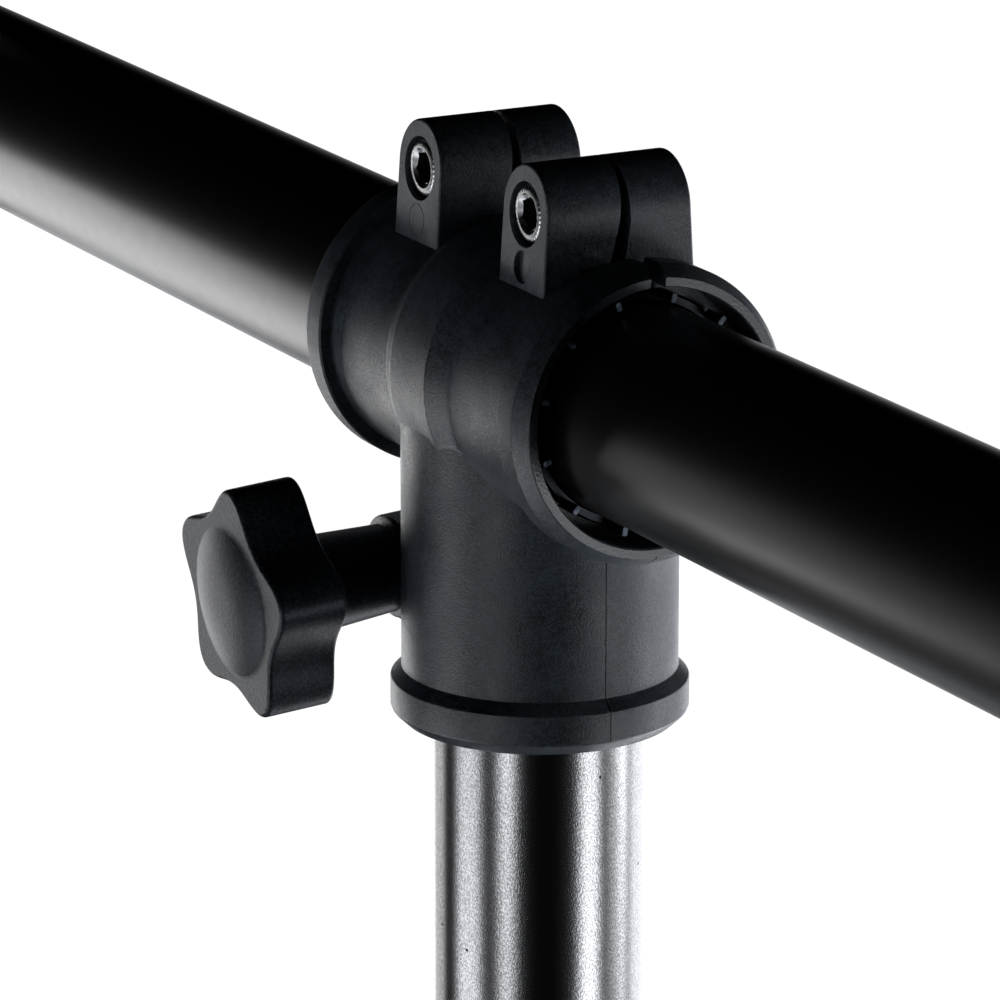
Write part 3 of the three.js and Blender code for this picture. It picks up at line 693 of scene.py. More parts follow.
# %% Bores, slit and screw pockets
bar_bore = turned(
    "bar bore",
    mirrored([(0, -45), (21.4, -45), (21.4, -39.4), (21.2, -39.2), (21.2, -31), (19.3, -31)]),
    steps=144,
)
put(bar_bore, turn=ALONG_X)
TUBE_CLEARANCE = 17.8
mast_bore = turned(
    "mast bore",
    [
        (0, -65), (18.8, -65), (18.8, SOCKET_MOUTH), (TUBE_CLEARANCE, -58.6),
        (TUBE_CLEARANCE, -21.8), (0, -21.8),
    ],
    steps=144,
)
SLIT = [(-1.35, 10), (1.35, 10), (1.35, 22), (2.4, 29), (1.9, 40), (1.3, 40), (0.4, 29), (-1.35, 22)]
slit = plate("slit", SLIT, -45, 45, "x")
cut(sleeve, bar_bore, mast_bore, slit)

SCREW_HEIGHT = 30
SCREW_FACE, NUT_FACE = leaning(LUG_FRONT, SCREW_HEIGHT), leaning(LUG_REAR, SCREW_HEIGHT)
for centre in (-LUG_AT, LUG_AT):
    head_hole = rod("head hole", 5.3, SCREW_FACE - 3, SCREW_FACE + 6.7, 64)
    shank_hole = rod("shank hole", 3.2, SCREW_FACE, NUT_FACE, 32)
    nut_pocket = rod("nut pocket", 6.2, NUT_FACE - 5.3, NUT_FACE + 3, 6)
    for tool in (head_hole, shank_hole, nut_pocket):
        put(tool, turn=(-90, 0, 0))
        put(tool, (centre, 0, SCREW_HEIGHT))
    cut(sleeve, head_hole, shank_hole, nut_pocket)
pinch_slit = block("pinch slit", (-40, -0.9, -62), (-11, 0.9, -24))
STUD_HOLE, INSERT_HOLE = 5.1, 6.9
near_hole = put(rod("near hole", STUD_HOLE, 0, 17, 48), KNOB_AT, KNOB_TURN)
far_hole = put(rod("far hole", INSERT_HOLE, -16, 0.3, 48), KNOB_AT, KNOB_TURN)
cut(sleeve, pinch_slit, near_hole, far_hole)
print("bores cut:", len(sleeve.data.polygons), "faces")

# %% [markdown]
# Small traces of the mould are what make it read as a real casting: a round ejector mark on each
# lug's front face, one of them sunk on its left side, and the fine line where the mould's halves met
# down the socket's side. They could be painted with bump, but a cut groove also catches the light
# in the mesh itself.

# %% Mould marks
LINE = 0.14


def parting_groove(body, radius, low, high):
    """The trace of the mould's halves, on the +X and -X sides of a turned body."""
    for side in (-1, 1):
        inside, outside = sorted((side * (radius - LINE), side * (radius + 5)))
        cut(body, block("groove", (inside, -0.11, low), (outside, 0.11, high)))


MARK_HEIGHT, MARK_RADIUS = 21.5, 2.65
mark_face = leaning(LUG_FRONT, MARK_HEIGHT)
DRAFT = math.degrees(math.atan2(LUG_FRONT[1] - LUG_FRONT[0], LUG_TOP - LUG_BASE))
for centre, sink in ((-LUG_AT, 0.0), (LUG_AT, 9.6)):
    ring = turned(
        "mark ring",
        [
            (MARK_RADIUS - LINE, -0.22), (MARK_RADIUS, -0.22), (MARK_RADIUS, 0.6),
            (MARK_RADIUS - LINE, 0.6), (MARK_RADIUS - LINE, -0.22),
        ],
        steps=48,
    )
    put(ring, turn=(90 - DRAFT, 0, 0))
    cut(sleeve, put(ring, (centre, mark_face, MARK_HEIGHT)))
    if sink:
        dent = rod("dent", MARK_RADIUS, 0, 2, 48)
        put(dent, (0, 0, -MARK_RADIUS * math.sin(math.radians(sink))), (0, -sink, 0))
        put(dent, turn=(90 - DRAFT, 0, 0))
        cut(sleeve, put(dent, (centre, mark_face, MARK_HEIGHT)))
parting_groove(sleeve, SOCKET_RADIUS, -52.5, -23.5)
parting_groove(sleeve, FLANGE_RADIUS, -60, -52)
UNDER_COLLAR = [(31, -24.36), (36.6, -24.36), (39.3, -22.8), (40, -22), (40, -26), (31, -26)]
for end in (-1, 1):
    outline = [(end * along, low) for along, low in UNDER_COLLAR]
    cut(sleeve, plate("groove", outline, -0.11, 0.11, "y"))
close_seams(sleeve)
smooth(at_head(sleeve))
hand_over(sleeve, "t_socket")
refinish(sleeve, rubbed, lambda middle, normal: abs(normal.x) > 0.98 and abs(middle.x) > SLEEVE_END - 0.3)

# %% [markdown]
# ## The star knob
# The grip has five round lobes. No primitive has that outline, so the ring of a cylinder is moved
# point by point by a formula: a mean radius, a five-fold wave and a weak ten-fold wave, which flattens
# the lobes. The rims are bevelled, a shallow dome is turned for the middle of the face, and a neck
# leads to the boss. The same function makes the knobs of the mast's clamp and of the collar.

# %% Star knob
LOBES, LOBE_TURN = 5, -7.4
GRIP_RADIUS, LOBE_WAVE, LOBE_FLAT = 17.4, 2.29, 0.22
GRIP_DEPTH, GRIP_MIDDLE = 12.2, 22.6
DOME_RADIUS, DOME_BASE, DOME_RISE, DOME_RINGS = 13.2, 28.7, 1.9, 14


def star_knob(name):
    clear_selection()
    bpy.ops.mesh.primitive_cylinder_add(
        vertices=180, radius=1, depth=GRIP_DEPTH, location=(0, 0, GRIP_MIDDLE),
    )
    grip = bpy.context.object
    grip.name = name
    bpy.ops.object.transform_apply(location=True, rotation=True, scale=True)
    for point in grip.data.vertices:
        angle = math.atan2(point.co.y, point.co.x)
        wave = LOBES * (angle - math.radians(LOBE_TURN) - math.pi / 2)
        radius = GRIP_RADIUS + LOBE_WAVE * math.cos(wave) + LOBE_FLAT * math.cos(2 * wave)
        point.co.x, point.co.y = radius * math.cos(angle), radius * math.sin(angle)
    break_edges(grip, 0.8, 4)
    dome = [(0, 24), (DOME_RADIUS, 24), (DOME_RADIUS, DOME_BASE)]
    for ring in range(DOME_RINGS - 1, 0, -1):
        height = DOME_BASE + DOME_RISE * (1 - (ring / DOME_RINGS) ** 2.8)
        dome.append((DOME_RADIUS * ring / DOME_RINGS, height))
    dome.append((0, DOME_BASE + DOME_RISE))
    neck = [
        (0, 0), (7.15, 0), (7.45, 0.3), (8.25, 15), (8.6, 15.9), (9.5, 16.55), (9.5, 17.6), (0, 17.6),
    ]
    join(grip, turned("dome", dome, 96), turned("neck", neck, 96))
    return cut(grip, rod("stud hole", STUD_HOLE, -2, 24.8, 32))


head_knob = star_knob("head_star_knob")
put(head_knob, (0, 0, 15.2))
put(head_knob, KNOB_AT, KNOB_TURN)
smooth(at_head(head_knob))
hand_over(head_knob, "head_knob")

# %% [markdown]
# ## The bar and the mast's tubes
# The bar and the mast are plain tubes. A cylinder with a Solidify modifier would give a wall, but its
# rims stay sharp, so tubes are turned too, each as one closed wall with softly broken rims. Four
# holes go across the bar for the hanger bolts.

# %% Bar and inner tube
def tube(name, inner, outer, low, high):
    rim = 0.3
    return turned(
        name,
        [
            (inner, low + rim), (inner + rim, low), (outer - rim, low), (outer, low + rim),
            (outer, high - rim), (outer - rim, high), (inner + rim, high), (inner, high - rim),
            (inner, low + rim),
        ],
        steps=128,
    )


BAR_END = 600
STATIONS = (-520, -260, 260, 520)
BOLT_HOLE = 5.2
bar = put(tube("bar", 15.5, 17.5, -BAR_END, BAR_END), turn=ALONG_X)
cut(bar, *(put(rod("bolt hole", BOLT_HOLE, -20, 20, 32), (x, 0, 0)) for x in STATIONS))
smooth(at_head(bar))
hand_over(bar, "crossbar")

TUBE_TOP, TUBE_LENGTH = 1475.1, 900
inner_tube = smooth(tube("inner_mast_tube", 16, 17.5, TUBE_TOP - TUBE_LENGTH, TUBE_TOP))
hand_over(inner_tube, "inner_tube")

# %% [markdown]
# ## The liner
# A thin ribbed liner centres the bar in the sleeve, and the ends of its ribs in the mouth are coloured
# pale, as painted highlights. The ring is turned, and one small block with soft edges is turned round
# the bar and joined to it twelve times at each end.

# %% Liner
liner = turned(
    "ribbed_liner",
    [(17.8, -33), (18.9, -33), (19, -32.8), (19, 32.8), (18.9, 33), (17.8, 33), (17.8, -33)],
    steps=120,
)
put(liner, turn=ALONG_X)
RIBS, FIRST_RIB, RIB_START, RIB_END = 12, -73, 32, 37
for low, high in ((-RIB_END, -RIB_START), (RIB_START, RIB_END)):
    for number in range(RIBS):
        rib = block("rib", (low, -0.5, 18.2), (high, 0.5, 19.8), 0.2)
        join(liner, put(rib, turn=(FIRST_RIB + 360 / RIBS * number, 0, 0)))
smooth(at_head(liner))
hand_over(liner, "bar_liner")
# The rib ends' pale finish is a painted highlight.
refinish(liner, rib_end_painted_highlight, lambda middle, normal: abs(normal.x) > 0.9 and abs(middle.x) > RIB_END - 0.5)

# %% [markdown]
# ## The clamp screws and nuts
# Two cap screws draw the lugs together. Their heads have knurled rims, which a formula presses into
# the turned side, because thirty-two grooves cut one by one would take far longer. The hexagon socket
# is a turned shape of six steps, and its walls get a nearly black colour, as painted shade.

# %% Clamp screws
KNURLS, KNURL_DEPTH = 32, 0.16
KEY_RADIUS, KEY_DEPTH = 2.9, 3.2


def clamp_screw(name):
    head = turned(
        name,
        [
            (0, -6), (4.5, -6), (4.85, -5.6), (4.85, -4), (4.85, -2.5), (4.85, -1), (4.72, -0.5),
            (4.4, -0.15), (3.95, 0), (0, 0),
        ],
        steps=192,
    )
    for point in head.data.vertices:
        turn = math.atan2(point.co.y, point.co.x)
        radius = math.hypot(point.co.x, point.co.y)
        if radius > 4.3 and -5.6 < point.co.z:
            radius -= KNURL_DEPTH * (0.5 + 0.5 * math.cos(KNURLS * turn))
            point.co.x, point.co.y = radius * math.cos(turn), radius * math.sin(turn)
    join(head, rod("shank", 2.9, -24.9, -5, 32, 0.4))
    key = turned("key", [(0, -KEY_DEPTH), (KEY_RADIUS, -3.0), (KEY_RADIUS, 2), (0, 2)], 6)
    mouth = turned("mouth", [(0, -0.6), (2.6, -0.6), (3.35, 0), (3.35, 1), (0, 1)], 48)
    return cut(head, key, mouth)


SINK = 0.4
for number, centre in enumerate((-LUG_AT, LUG_AT), 1):
    screw = clamp_screw(f"clamp_screw_{number}")
    put(screw, turn=(0, 0, 12 * number))
    put(screw, turn=(90, 0, 0))
    seat = Vector((centre, SCREW_FACE + SINK, SCREW_HEIGHT))
    at_head(screw, place=seat)
    hand_over(smooth(screw), f"clamp_bolt_{number}")
    mouth = seat + HEAD / MM

    def in_key(middle, normal):
        aside = math.hypot(middle.x - mouth.x, middle.z - mouth.z)
        return aside < KEY_RADIUS + 0.2 and 0.7 < middle.y - mouth.y < KEY_DEPTH + 0.2

    # The socket's walls get the painted shade of the recess.
    refinish(screw, key_painted_shade, in_key)

# %% [markdown]
# A hexagon nut is a turned shape of six steps too. Its corners are turned off at both ends, and the
# solid that it has in common with a chamfered disc is just that.

# %% Clamp nuts
def hexagon(name, corner, low, high, chamfer=0.5):
    """A six-sided head or nut, with its corners turned off at both ends."""
    blank = rod(name, corner, low, high, 6)
    rim, wide = corner * math.cos(math.pi / 6) * 0.97, corner + 0.1
    trim = turned(
        "trim",
        [(0, low), (rim, low), (wide, low + chamfer), (wide, high - chamfer), (rim, high), (0, high)],
        steps=96,
    )
    return combine(blank, trim, "INTERSECT")


NUT_HEIGHT = 4.6
for number, centre in enumerate((-LUG_AT, LUG_AT), 1):
    nut = hexagon(f"clamp_hex_nut_{number}", 5.6, 0, NUT_HEIGHT)
    cut(nut, rod("nut bore", 3.2, -1, 6, 32))
    put(nut, turn=(-90, 0, 0))
    at_head(nut, place=(centre, NUT_FACE - SINK - NUT_HEIGHT, SCREW_HEIGHT))
    hand_over(smooth(nut), f"clamp_nut_{number}")

# %% [markdown]
# ## The bar's end caps
# Each end of the bar is closed by a pressed-in cap with a rounded rim and a shallow dish. It is round
# all over, so its profile says everything, and it is turned once and copied for the far end.

# %% End caps
near_cap = turned(
    "end_cap_near",
    [
        (0, -14), (14.8, -14), (15.2, -13.6), (15.2, 0.3), (17.1, 0.3), (17.3, 0.5), (17.3, 2),
        (17.1, 2.5), (16.6, 2.9), (16.1, 3), (10, 3), (9.6, 2.9), (9.4, 2.6), (0, 2.6),
    ],
    steps=96,
)
far_cap = copied(near_cap, "end_cap_far")
for cap, end, node in ((near_cap, 1, "bar_cap_near"), (far_cap, -1, "bar_cap_far")):
    put(cap, turn=(0, 90 * end, 0))
    at_head(cap, place=(BAR_END * end, 0, 0))
    hand_over(smooth(cap), node)

# %% [markdown]
# ## The hangers
# Four hanger bolts go through the bar, each with a moulded saddle above and below, so that the round
# tube isn't crushed, and a wing nut underneath for the lamp's yoke. A thread is often left to a bump
# texture, but its edge would stay straight, so this one is a real helix: the points of a plain
# cylinder are moved in and out by a wave that climbs one pitch in each turn.

# %% Hanger bolt
THREAD_PITCH, THREAD_DEPTH, RINGS_IN_PITCH = 1.5, 0.7, 6
BOLT_RADIUS, BOLT_LENGTH, SADDLE_FACE = 4.9, 92, 21.5


def threaded_rod(name, low, high, thread_to):
    """A rod whose lower length, up to thread_to, carries a helical thread."""
    rings = math.ceil((thread_to - low) / THREAD_PITCH * RINGS_IN_PITCH)
    step = (thread_to - low) / rings
    side = [(BOLT_RADIUS, low + step * i) for i in range(rings + 1)]
    obj = turned(name, [(0, low), *side, (BOLT_RADIUS, high), (0, high)], 30)
    for point in obj.data.vertices:
        radius = math.hypot(point.co.x, point.co.y)
        if radius < 1 or point.co.z > thread_to - 0.1:
            continue
        angle = math.atan2(point.co.y, point.co.x)
        place = (point.co.z / THREAD_PITCH - angle / math.tau) % 1
        end_chamfer = 0.5 if point.co.z < low + 0.1 else 0
        depth = THREAD_DEPTH * abs(2 * place - 1) + end_chamfer
        point.co.x *= 1 - depth / radius
        point.co.y *= 1 - depth / radius
    return obj


HEAD_SEAT = SADDLE_FACE + 0.3
bolt = hexagon("hanger_hex_bolt", 8.6, HEAD_SEAT + 0.4, HEAD_SEAT + 6.5, 0.8)
washer_face = rod("washer face", 7.3, HEAD_SEAT, HEAD_SEAT + 1, 64)
shank = threaded_rod("shank", HEAD_SEAT + 3.25 - BOLT_LENGTH, HEAD_SEAT + 3, -18)
join(bolt, washer_face, shank)
dish = turned("dish", [(0, 28.05), (3.6, 28.05), (4.4, 28.6), (0, 28.6)], 48)
smooth(cut(bolt, dish), 35)
print("hanger bolt:", len(bolt.data.polygons), "faces")

# %% [markdown]
# The saddle is a block with the bar's round cut out of it. The wing nut has a tapered body, and each
# wing is an outline that is filled, pulled to its thickness and bevelled. The second wing is a copy,
# turned half round.

# %% Saddle and wing nut
saddle = block("saddle", (-14, -11, 11.6), (14, 11, SADDLE_FACE), 1.0)
cut(saddle, put(rod("seat", 17.8, -20, 20, 160), turn=ALONG_X), rod("bolt hole", BOLT_HOLE, 0, 30, 32))
cut(saddle, turned("countersink", [(0, 20.9), (BOLT_HOLE, 20.9), (6, 21.7), (0, 21.7)], 32))
smooth(saddle)

wing_nut = turned(
    "wing_nut_body",
    [(0, 0), (8.2, 0), (8.6, -0.4), (8.5, -1.4), (7.2, -9.4), (6.7, -10), (0, -10)],
    steps=64,
)
WING = [
    (4, -3), (10, -4.2), (15, -6.6), (18, -9.6), (20.4, -12.2), *arc((19, -16), 3, 40, -90, 6),
    (16, -18.2), (12.6, -14.6), (9, -11.4), (4, -9.8),
]
wing = plate("wing", WING, -1.7, 1.7, "y", 0.7, 3)
other_wing = put(copied(wing, "other wing"), turn=(0, 0, 180))
join(wing_nut, wing, other_wing)
cut(wing_nut, rod("nut bore", BOLT_HOLE, -24, 4, 32))
smooth(wing_nut, 40)
print("saddle:", len(saddle.data.polygons), "faces, wing nut:", len(wing_nut.data.polygons), "faces")

# %% [markdown]
# One hanger is finished now. Each piece is copied to the four stations, and each copy has its own
# mesh, because its place is applied to it. The patterns are then thrown away.

# %% Four hangers
NUT_DROP = 12
for number, x in enumerate(STATIONS, 1):
    for part, form, turn, lift in (
        ("hanger_bolt", bolt, 0, 0),
        ("upper_saddle", saddle, 0, 0),
        ("lower_saddle", saddle, 180, 0),
        ("wing_nut", wing_nut, 0, -SADDLE_FACE - NUT_DROP),
    ):
        made = put(copied(form, f"{part}_{number}_shaped"), turn=(turn, 0, 0))
        hand_over(at_head(made, place=(x, 0, lift)), f"{part}_{number}")
for pattern in (bolt, saddle, wing_nut):
    bpy.data.objects.remove(pattern)

# %% [markdown]
# ## The mast's clamp
# A moulded clamp joins the two mast tubes. Its lower half grips the outer tube, its upper half guides
# the inner one, and a star knob like the head's screws into a boss at the front. The clamp, the hub
# and the collar are rings with the same rounded rims, so one function turns all three. The clamp's
# inside is stepped, so its bores are cut one after the other. A fine groove down each side is where
# the mould's halves met.

# %% Outer tube and mast clamp
CLAMP_AT = 1000
OUTER_CLEARANCE = 20.3
outer_tube = smooth(tube("outer_mast_tube", 18.5, 20, 34, CLAMP_AT))
hand_over(outer_tube, "outer_tube")


def ring_body(name, radius, low, high, flange=0.0):
    """A moulded ring: plain, or with a flange at each end."""
    rim, length = radius + flange, 8
    middle = []
    if flange:
        middle = [
            (rim, low + length - 0.3), (rim - 0.3, low + length), (radius + 0.2, low + length + 0.05),
            (radius, low + length + 0.3), (radius, high - length - 0.3),
            (radius + 0.2, high - length - 0.05), (rim - 0.3, high - length), (rim, high - length + 0.3),
        ]
    return turned(
        name,
        [
            (0, low), (rim - 1.5, low), (rim - 0.7, low + 0.25), (rim - 0.2, low + 0.75),
            (rim, low + 1.5), *middle, (rim, high - 1.5),
            (rim - 0.2, high - 0.75), (rim - 0.7, high - 0.25), (rim - 1.5, high), (0, high),
        ],
        steps=128,
    )


def knob_boss(end):
    side = [(9.5, 0), (9.5, end - 0.7), (9.3, end - 0.2), (8.8, end)]
    return turned("boss", [(0, 0), *side, (0, end)], 64)


def fit_knob(name, node, neck_end, place, turn):
    """A star knob with its neck's end at a distance from the mast's axis."""
    knob = star_knob(name)
    put(knob, (0, 0, neck_end))
    put(knob, place, turn)
    hand_over(smooth(knob), node)


FACING_FRONT = (90, 0, 0)
clamp = ring_body("mast_clamp_casting", 25, -50, 38, 2)
join(clamp, put(knob_boss(32), (0, 0, 19), FACING_FRONT))
parting_groove(clamp, 25, -42, 30)
cut(
    clamp,
    rod("grip bore", OUTER_CLEARANCE, -52, 0.3, 128),
    rod("guide bore", TUBE_CLEARANCE, 0, 40, 128),
    put(rod("insert hole", INSERT_HOLE, 0, 34, 48), (0, 0, 19), FACING_FRONT),
)
put(clamp, (0, 0, CLAMP_AT))
hand_over(smooth(clamp), "mast_clamp")
fit_knob("mast_star_knob", "mast_knob", 32.3, (0, 0, CLAMP_AT + 19), FACING_FRONT)

# %% [markdown]
# ## The tripod's castings
# The legs hang on a collar that slides on the outer tube, and the braces on a hub at the tube's foot.
# Both are rings with three pairs of ears or three lugs. One lug is an outline with a round end,
# pulled to its width, and it is copied round the mast at every third of a turn.

# %% Hub and collar
PIVOT, BRACE, LEG, OPEN, LEG_END_HEIGHT = 46, 300, 675, 52, 14
HUB_AT = LEG_END_HEIGHT + (LEG - 2 * BRACE) * math.cos(math.radians(OPEN))
COLLAR_AT = HUB_AT + 2 * BRACE * math.cos(math.radians(OPEN))
EAR_INNER, EAR_OUTER = 13.1, 18.1
LUG_OUTLINE = [(20, -9), *arc((PIVOT, 0), 9, -90, 90, 16), (20, 9)]
PIN_HOLE = 3.3


def round_mast(pattern):
    """Two more copies of a form, a third of a turn apart."""
    others = [put(copied(pattern, pattern.name), turn=(0, 0, 120 * i)) for i in (1, 2)]
    return [pattern, *others]


def pin_holes(reach):
    """Tools for the holes of three pins, one beside each leg."""
    pattern = put(rod("pin hole", PIN_HOLE, -reach, reach, 32), (PIVOT, 0, 0), (90, 0, 0))
    return round_mast(pattern)


hub = ring_body("brace_hub_casting", 27, -25, 24)
join(hub, *round_mast(plate("lug", LUG_OUTLINE, -12.6, 12.6, "y", 0.8, 3)))
cut(hub, rod("bore", OUTER_CLEARANCE, -28, 28, 128), *pin_holes(16))
put(hub, (0, 0, HUB_AT))
hand_over(smooth(hub), "brace_hub")

collar = ring_body("leg_collar_casting", 27, -18, 52)
for low, high in ((EAR_INNER, EAR_OUTER), (-EAR_OUTER, -EAR_INNER)):
    join(collar, *round_mast(plate("ear", LUG_OUTLINE, low, high, "y", 0.8, 3)))
FACING_LEFT = (90, 0, -90)
join(collar, put(knob_boss(34), (0, 0, 32), FACING_LEFT))
cut(
    collar,
    rod("bore", OUTER_CLEARANCE, -20, 54, 128),
    put(rod("insert hole", INSERT_HOLE, 0, 36, 48), (0, 0, 32), FACING_LEFT),
    *pin_holes(22),
)
put(collar, (0, 0, COLLAR_AT))
hand_over(smooth(collar), "leg_collar")
fit_knob("collar_star_knob", "collar_knob", 34.3, (0, 0, COLLAR_AT + 32), FACING_LEFT)

# %% [markdown]
# ## Legs, braces and feet
# One leg is made upright with its pivot at the centre, because its holes are then square to the axes,
# and leaned out afterwards. The brace is a folded channel of sheet steel with round ends: two flanges
# of one outline, and a web between them. The rubber foot is a grooved cup, cut flat where it meets
# the floor.

# %% Leg, brace and foot
LEG_PIVOT, HUB_PIVOT = (PIVOT, 0, COLLAR_AT), (PIVOT, 0, HUB_AT)


def drill(obj, *heights):
    """Drills a hole for a pin through a leg or a brace at each height."""
    for z in heights:
        cut(obj, put(rod("pin hole", PIN_HOLE, -20, 20, 24), (0, 0, z), (90, 0, 0)))


leg = tube("leg", 11, 12.5, -LEG, 12)
drill(leg, 0, -BRACE)
put(leg, LEG_PIVOT, (0, -OPEN, 0))

TOP_END = arc((0, BRACE), 11, 0, 180, 16)
LOW_END = arc((0, 0), 11, 180, 360, 16)
WEB_LOW, WEB_HIGH, FLANGE_IN, FLANGE_OUT = 13, BRACE - 18, 13, 15
BRACE_SIDE = [*TOP_END, (-11, WEB_HIGH), (-13, WEB_HIGH), (-13, WEB_LOW), (-11, WEB_LOW), *LOW_END]
brace = plate("brace", BRACE_SIDE, FLANGE_IN, FLANGE_OUT, "y")
web = block("web", (-13, -14, WEB_LOW), (-11, 14, WEB_HIGH))
join(brace, plate("flange", BRACE_SIDE, -FLANGE_OUT, -FLANGE_IN, "y"), web)
drill(brace, 0, BRACE)
break_edges(close_seams(brace), 0.35, 2, 50)
put(brace, HUB_PIVOT, (0, OPEN, 0))

SOLE, FOOT_RADIUS, GROOVE_RADIUS = -LEG - 8, 15.5, 14.9
foot_side = [(14, SOLE), (15, SOLE + 0.6), (FOOT_RADIUS, SOLE + 2), (FOOT_RADIUS, SOLE + 12)]
for groove in (12, 18, 24, 30):
    foot_side += [
        (FOOT_RADIUS, SOLE + groove), (GROOVE_RADIUS, SOLE + groove + 0.7),
        (GROOVE_RADIUS, SOLE + groove + 2), (FOOT_RADIUS, SOLE + groove + 2.7),
    ]
foot_side += [(FOOT_RADIUS, SOLE + 38.6), (15.1, SOLE + 39.6), (14.4, SOLE + 40)]
foot = turned("foot", [(0, SOLE), *foot_side, (0, SOLE + 40)], 96)
cut(foot, rod("leg hole", 12.8, -LEG - 0.3, -LEG + 40, 64))
put(foot, LEG_PIVOT, (0, -OPEN, 0))
cut(foot, block("floor cut", (0, -50, -60), (900, 50, 0)))
print("leg:", len(leg.data.polygons), "brace:", len(brace.data.polygons), "foot:", len(foot.data.polygons))

# %% [markdown]
# Every joint of the tripod turns on a rivet pin with a domed head at each end. The profile of one
# half is enough, because the other half is its mirror image. With the pins, one spoke of the tripod
# is complete, and it is copied round the mast.

# %% Pins and the three spokes
def rivet(name, grip):
    """A pin across a joint that is as wide as its grip."""
    end = grip / 2 + 0.3
    low_half = [
        (0, -end - 2), (2.6, -end - 1.95), (4, -end - 1.6), (4.8, -end - 0.9), (5, -end - 0.15),
        (4.9, -end), (3, -end),
    ]
    return put(turned(name, mirrored(low_half), 32), turn=(90, 0, 0))


leg_pin = put(rivet("leg_pin", 2 * EAR_OUTER), LEG_PIVOT)
hub_pin = put(rivet("hub_pin", 30), HUB_PIVOT)
brace_pin = put(rivet("brace_pin", 30), (0, 0, -BRACE))
put(brace_pin, LEG_PIVOT, (0, -OPEN, 0))
for pattern in (leg, brace, foot, leg_pin, hub_pin, brace_pin):
    smooth(pattern)
    for number in (1, 2, 3):
        made = copied(pattern, f"{pattern.name}_{number}_shaped")
        hand_over(put(made, turn=(0, 0, 120 * (number - 1))), f"{pattern.name}_{number}")
    bpy.data.objects.remove(pattern)

# %% [markdown]
# ## Floor and light
# The stand is photographed against light: a white sweep behind and below, and dark above and behind
# the camera. The floor is a pale glowing disc, like a lit sweep, which fades out towards its rim. Only
# the camera sees it, so it holds no light back from the legs.

# %% Floor
FLOOR_RADIUS, FLOOR_GLOW = 1.5, 0.75
FADE_FROM, FADE_TO = 0.8, 1.45
clear_selection()
bpy.ops.mesh.primitive_circle_add(vertices=128, radius=FLOOR_RADIUS, fill_type="NGON")
floor = bpy.context.object
floor.name = "floor"
pale, spot, shader = finish_of("pale floor")
feed(
    shader,
    Base_Color=grey(0.8),
    Roughness=0.9,
    Emission_Color=grey(1.0),
    Emission_Strength=FLOOR_GLOW,
)
reach = spot.node("ShaderNodeVectorMath", {"operation": "LENGTH"}, out=1, i0=spot)
glowing = Sum(spot.tree, shader.outputs[0])
clear = spot.node("ShaderNodeBsdfTransparent")
faded = spot.node("ShaderNodeMixShader", i0=reach.fade(FADE_FROM, FADE_TO), i1=glowing, i2=clear)
spot.tree.links.new(faded.socket, spot.tree.nodes["Material Output"].inputs["Surface"])
floor.data.materials.append(pale)
floor.visible_diffuse = floor.visible_glossy = floor.visible_transmission = floor.visible_shadow = False
print("floor of", FLOOR_RADIUS, "m, with a glow of", FLOOR_GLOW)

# %% [markdown]
# The sky is white to the camera. Everything else sees a ring of soft boxes round the stand, mostly
# below the horizon, where the lit sweep is. Each is given by its azimuth, its height, half its width
# and half its height in degrees, and its strength. They draw the bright stripes on the mast, light
# the castings from both sides and leave the tops of the tubes black. The last one lies straight below,
# and is the light that the floor throws up. Lamps could stand there instead, but boxes in the sky have
# soft edges and are seen in every reflection.

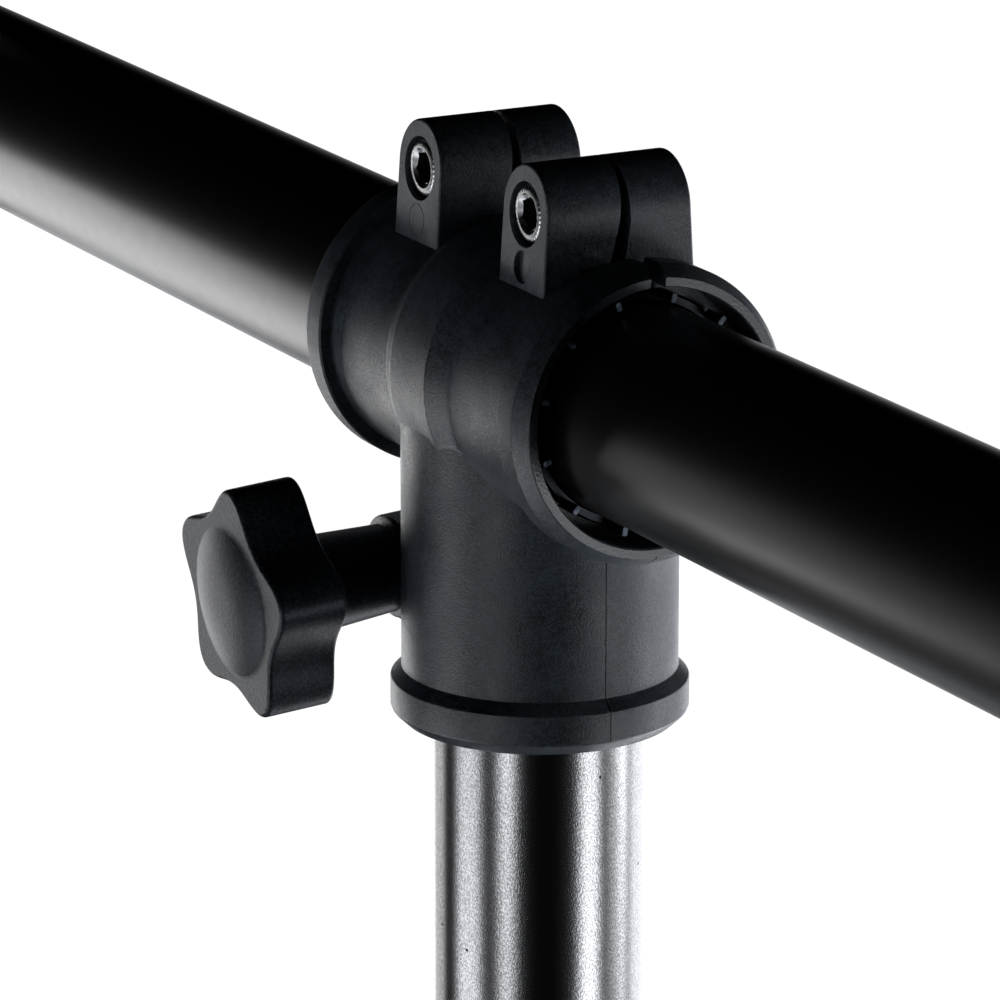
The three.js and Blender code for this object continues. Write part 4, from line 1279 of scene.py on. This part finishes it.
# %% Sky
world = bpy.data.worlds.new("studio")
world.use_nodes = True
bpy.context.scene.world = world
tree = world.node_tree
outward = Sum(tree, tree.nodes.new("ShaderNodeTexCoord").outputs["Generated"])
parts = tree.nodes.new("ShaderNodeSeparateXYZ")
tree.links.new(outward.socket, parts.inputs[0])
x, y, z = (Sum(tree, parts.outputs[i]) for i in range(3))
DEGREES = 180 / math.pi
turn = y.node("ShaderNodeMath", {"operation": "ARCTAN2"}, i0=y, i1=x) * DEGREES
rise = z.node("ShaderNodeMath", {"operation": "ARCSINE"}, i0=z) * DEGREES
EDGE, CAMERA_WHITE, TINT = 12, 1.05, (0.97, 0.99, 1.04)
SOFT_BOXES = [
    (-113, -24, 9.6, 2, 1.9), (-64, -14, 2, 2, 2.2), (29, -23, 4.2, 1.2, 3.4), (67, -12, 8, 1, 1.3),
    (74.5, -5.5, 0.7, 5.4, 4.8), (132, -15.5, 36, 5, 1.7), (96, -43, 26, 6, 4.0),
    (-112, -42, 16, 6, 1.7), (112, 18, 10, 3.5, 0.15), (0, -90, 180, 28, 0.18),
]
light = None
for azimuth, height, half_width, half_height, strength in SOFT_BOXES:
    aside = abs(x.node("ShaderNodeMath", {"operation": "WRAP"}, i0=turn - azimuth, i1=180.0, i2=-180.0))
    above = abs(rise - height)
    across = 1 - aside.fade(half_width, half_width + EDGE)
    upward = 1 - above.fade(half_height, half_height + EDGE)
    box = across * upward * strength
    light = box if light is None else light + box
sky = tree.nodes["Background"]
seen = Sum(tree, tree.nodes.new("ShaderNodeLightPath").outputs["Is Camera Ray"])
tinted = light.node("ShaderNodeVectorMath", {"operation": "SCALE"}, i0=TINT, Scale=light * (1 - seen))
white = tinted.node("ShaderNodeVectorMath", {"operation": "ADD"}, i0=tinted, i1=seen * CAMERA_WHITE)
feed(sky, Color=white, Strength=1.0)
bpy.context.scene.view_settings.view_transform = "Standard"
print("sky with", len(SOFT_BOXES), "soft boxes")

# %% [markdown]
# One soft panel stands close to the left end of the bar and lights its underside. The sky can't do
# that alone, because it is equally far from every piece. Light linking keeps the panel off the mast,
# as a black flag does in a studio, and a weaker one at the same place draws the mast's left edge.

# %% Near panels
aim = Vector((-0.2, -0.015, 1.49))
towards = Vector((-0.87, -0.24, -0.42)).normalized()
PANEL_SIDE, PANEL_AWAY = 0.3, 0.5
for name, radiance, shining in (("near panel", 2.5, "EXCLUDE"), ("edge panel", 0.78, "INCLUDE")):
    bpy.ops.object.light_add(type="AREA", location=aim + towards * PANEL_AWAY)
    panel = bpy.context.object
    panel.name = name
    panel.rotation_euler = towards.to_track_quat("Z", "Y").to_euler()
    panel.data.size = PANEL_SIDE
    panel.data.energy = radiance * math.pi * PANEL_SIDE**2
    panel.visible_camera = False
    receivers = bpy.data.collections.new(name + " receivers")
    receivers.objects.link(inner_tube)
    receivers.collection_objects[0].light_linking.link_state = shining
    panel.light_linking.receiver_collection = receivers
    print(name, "of", round(panel.data.energy, 3), "W")
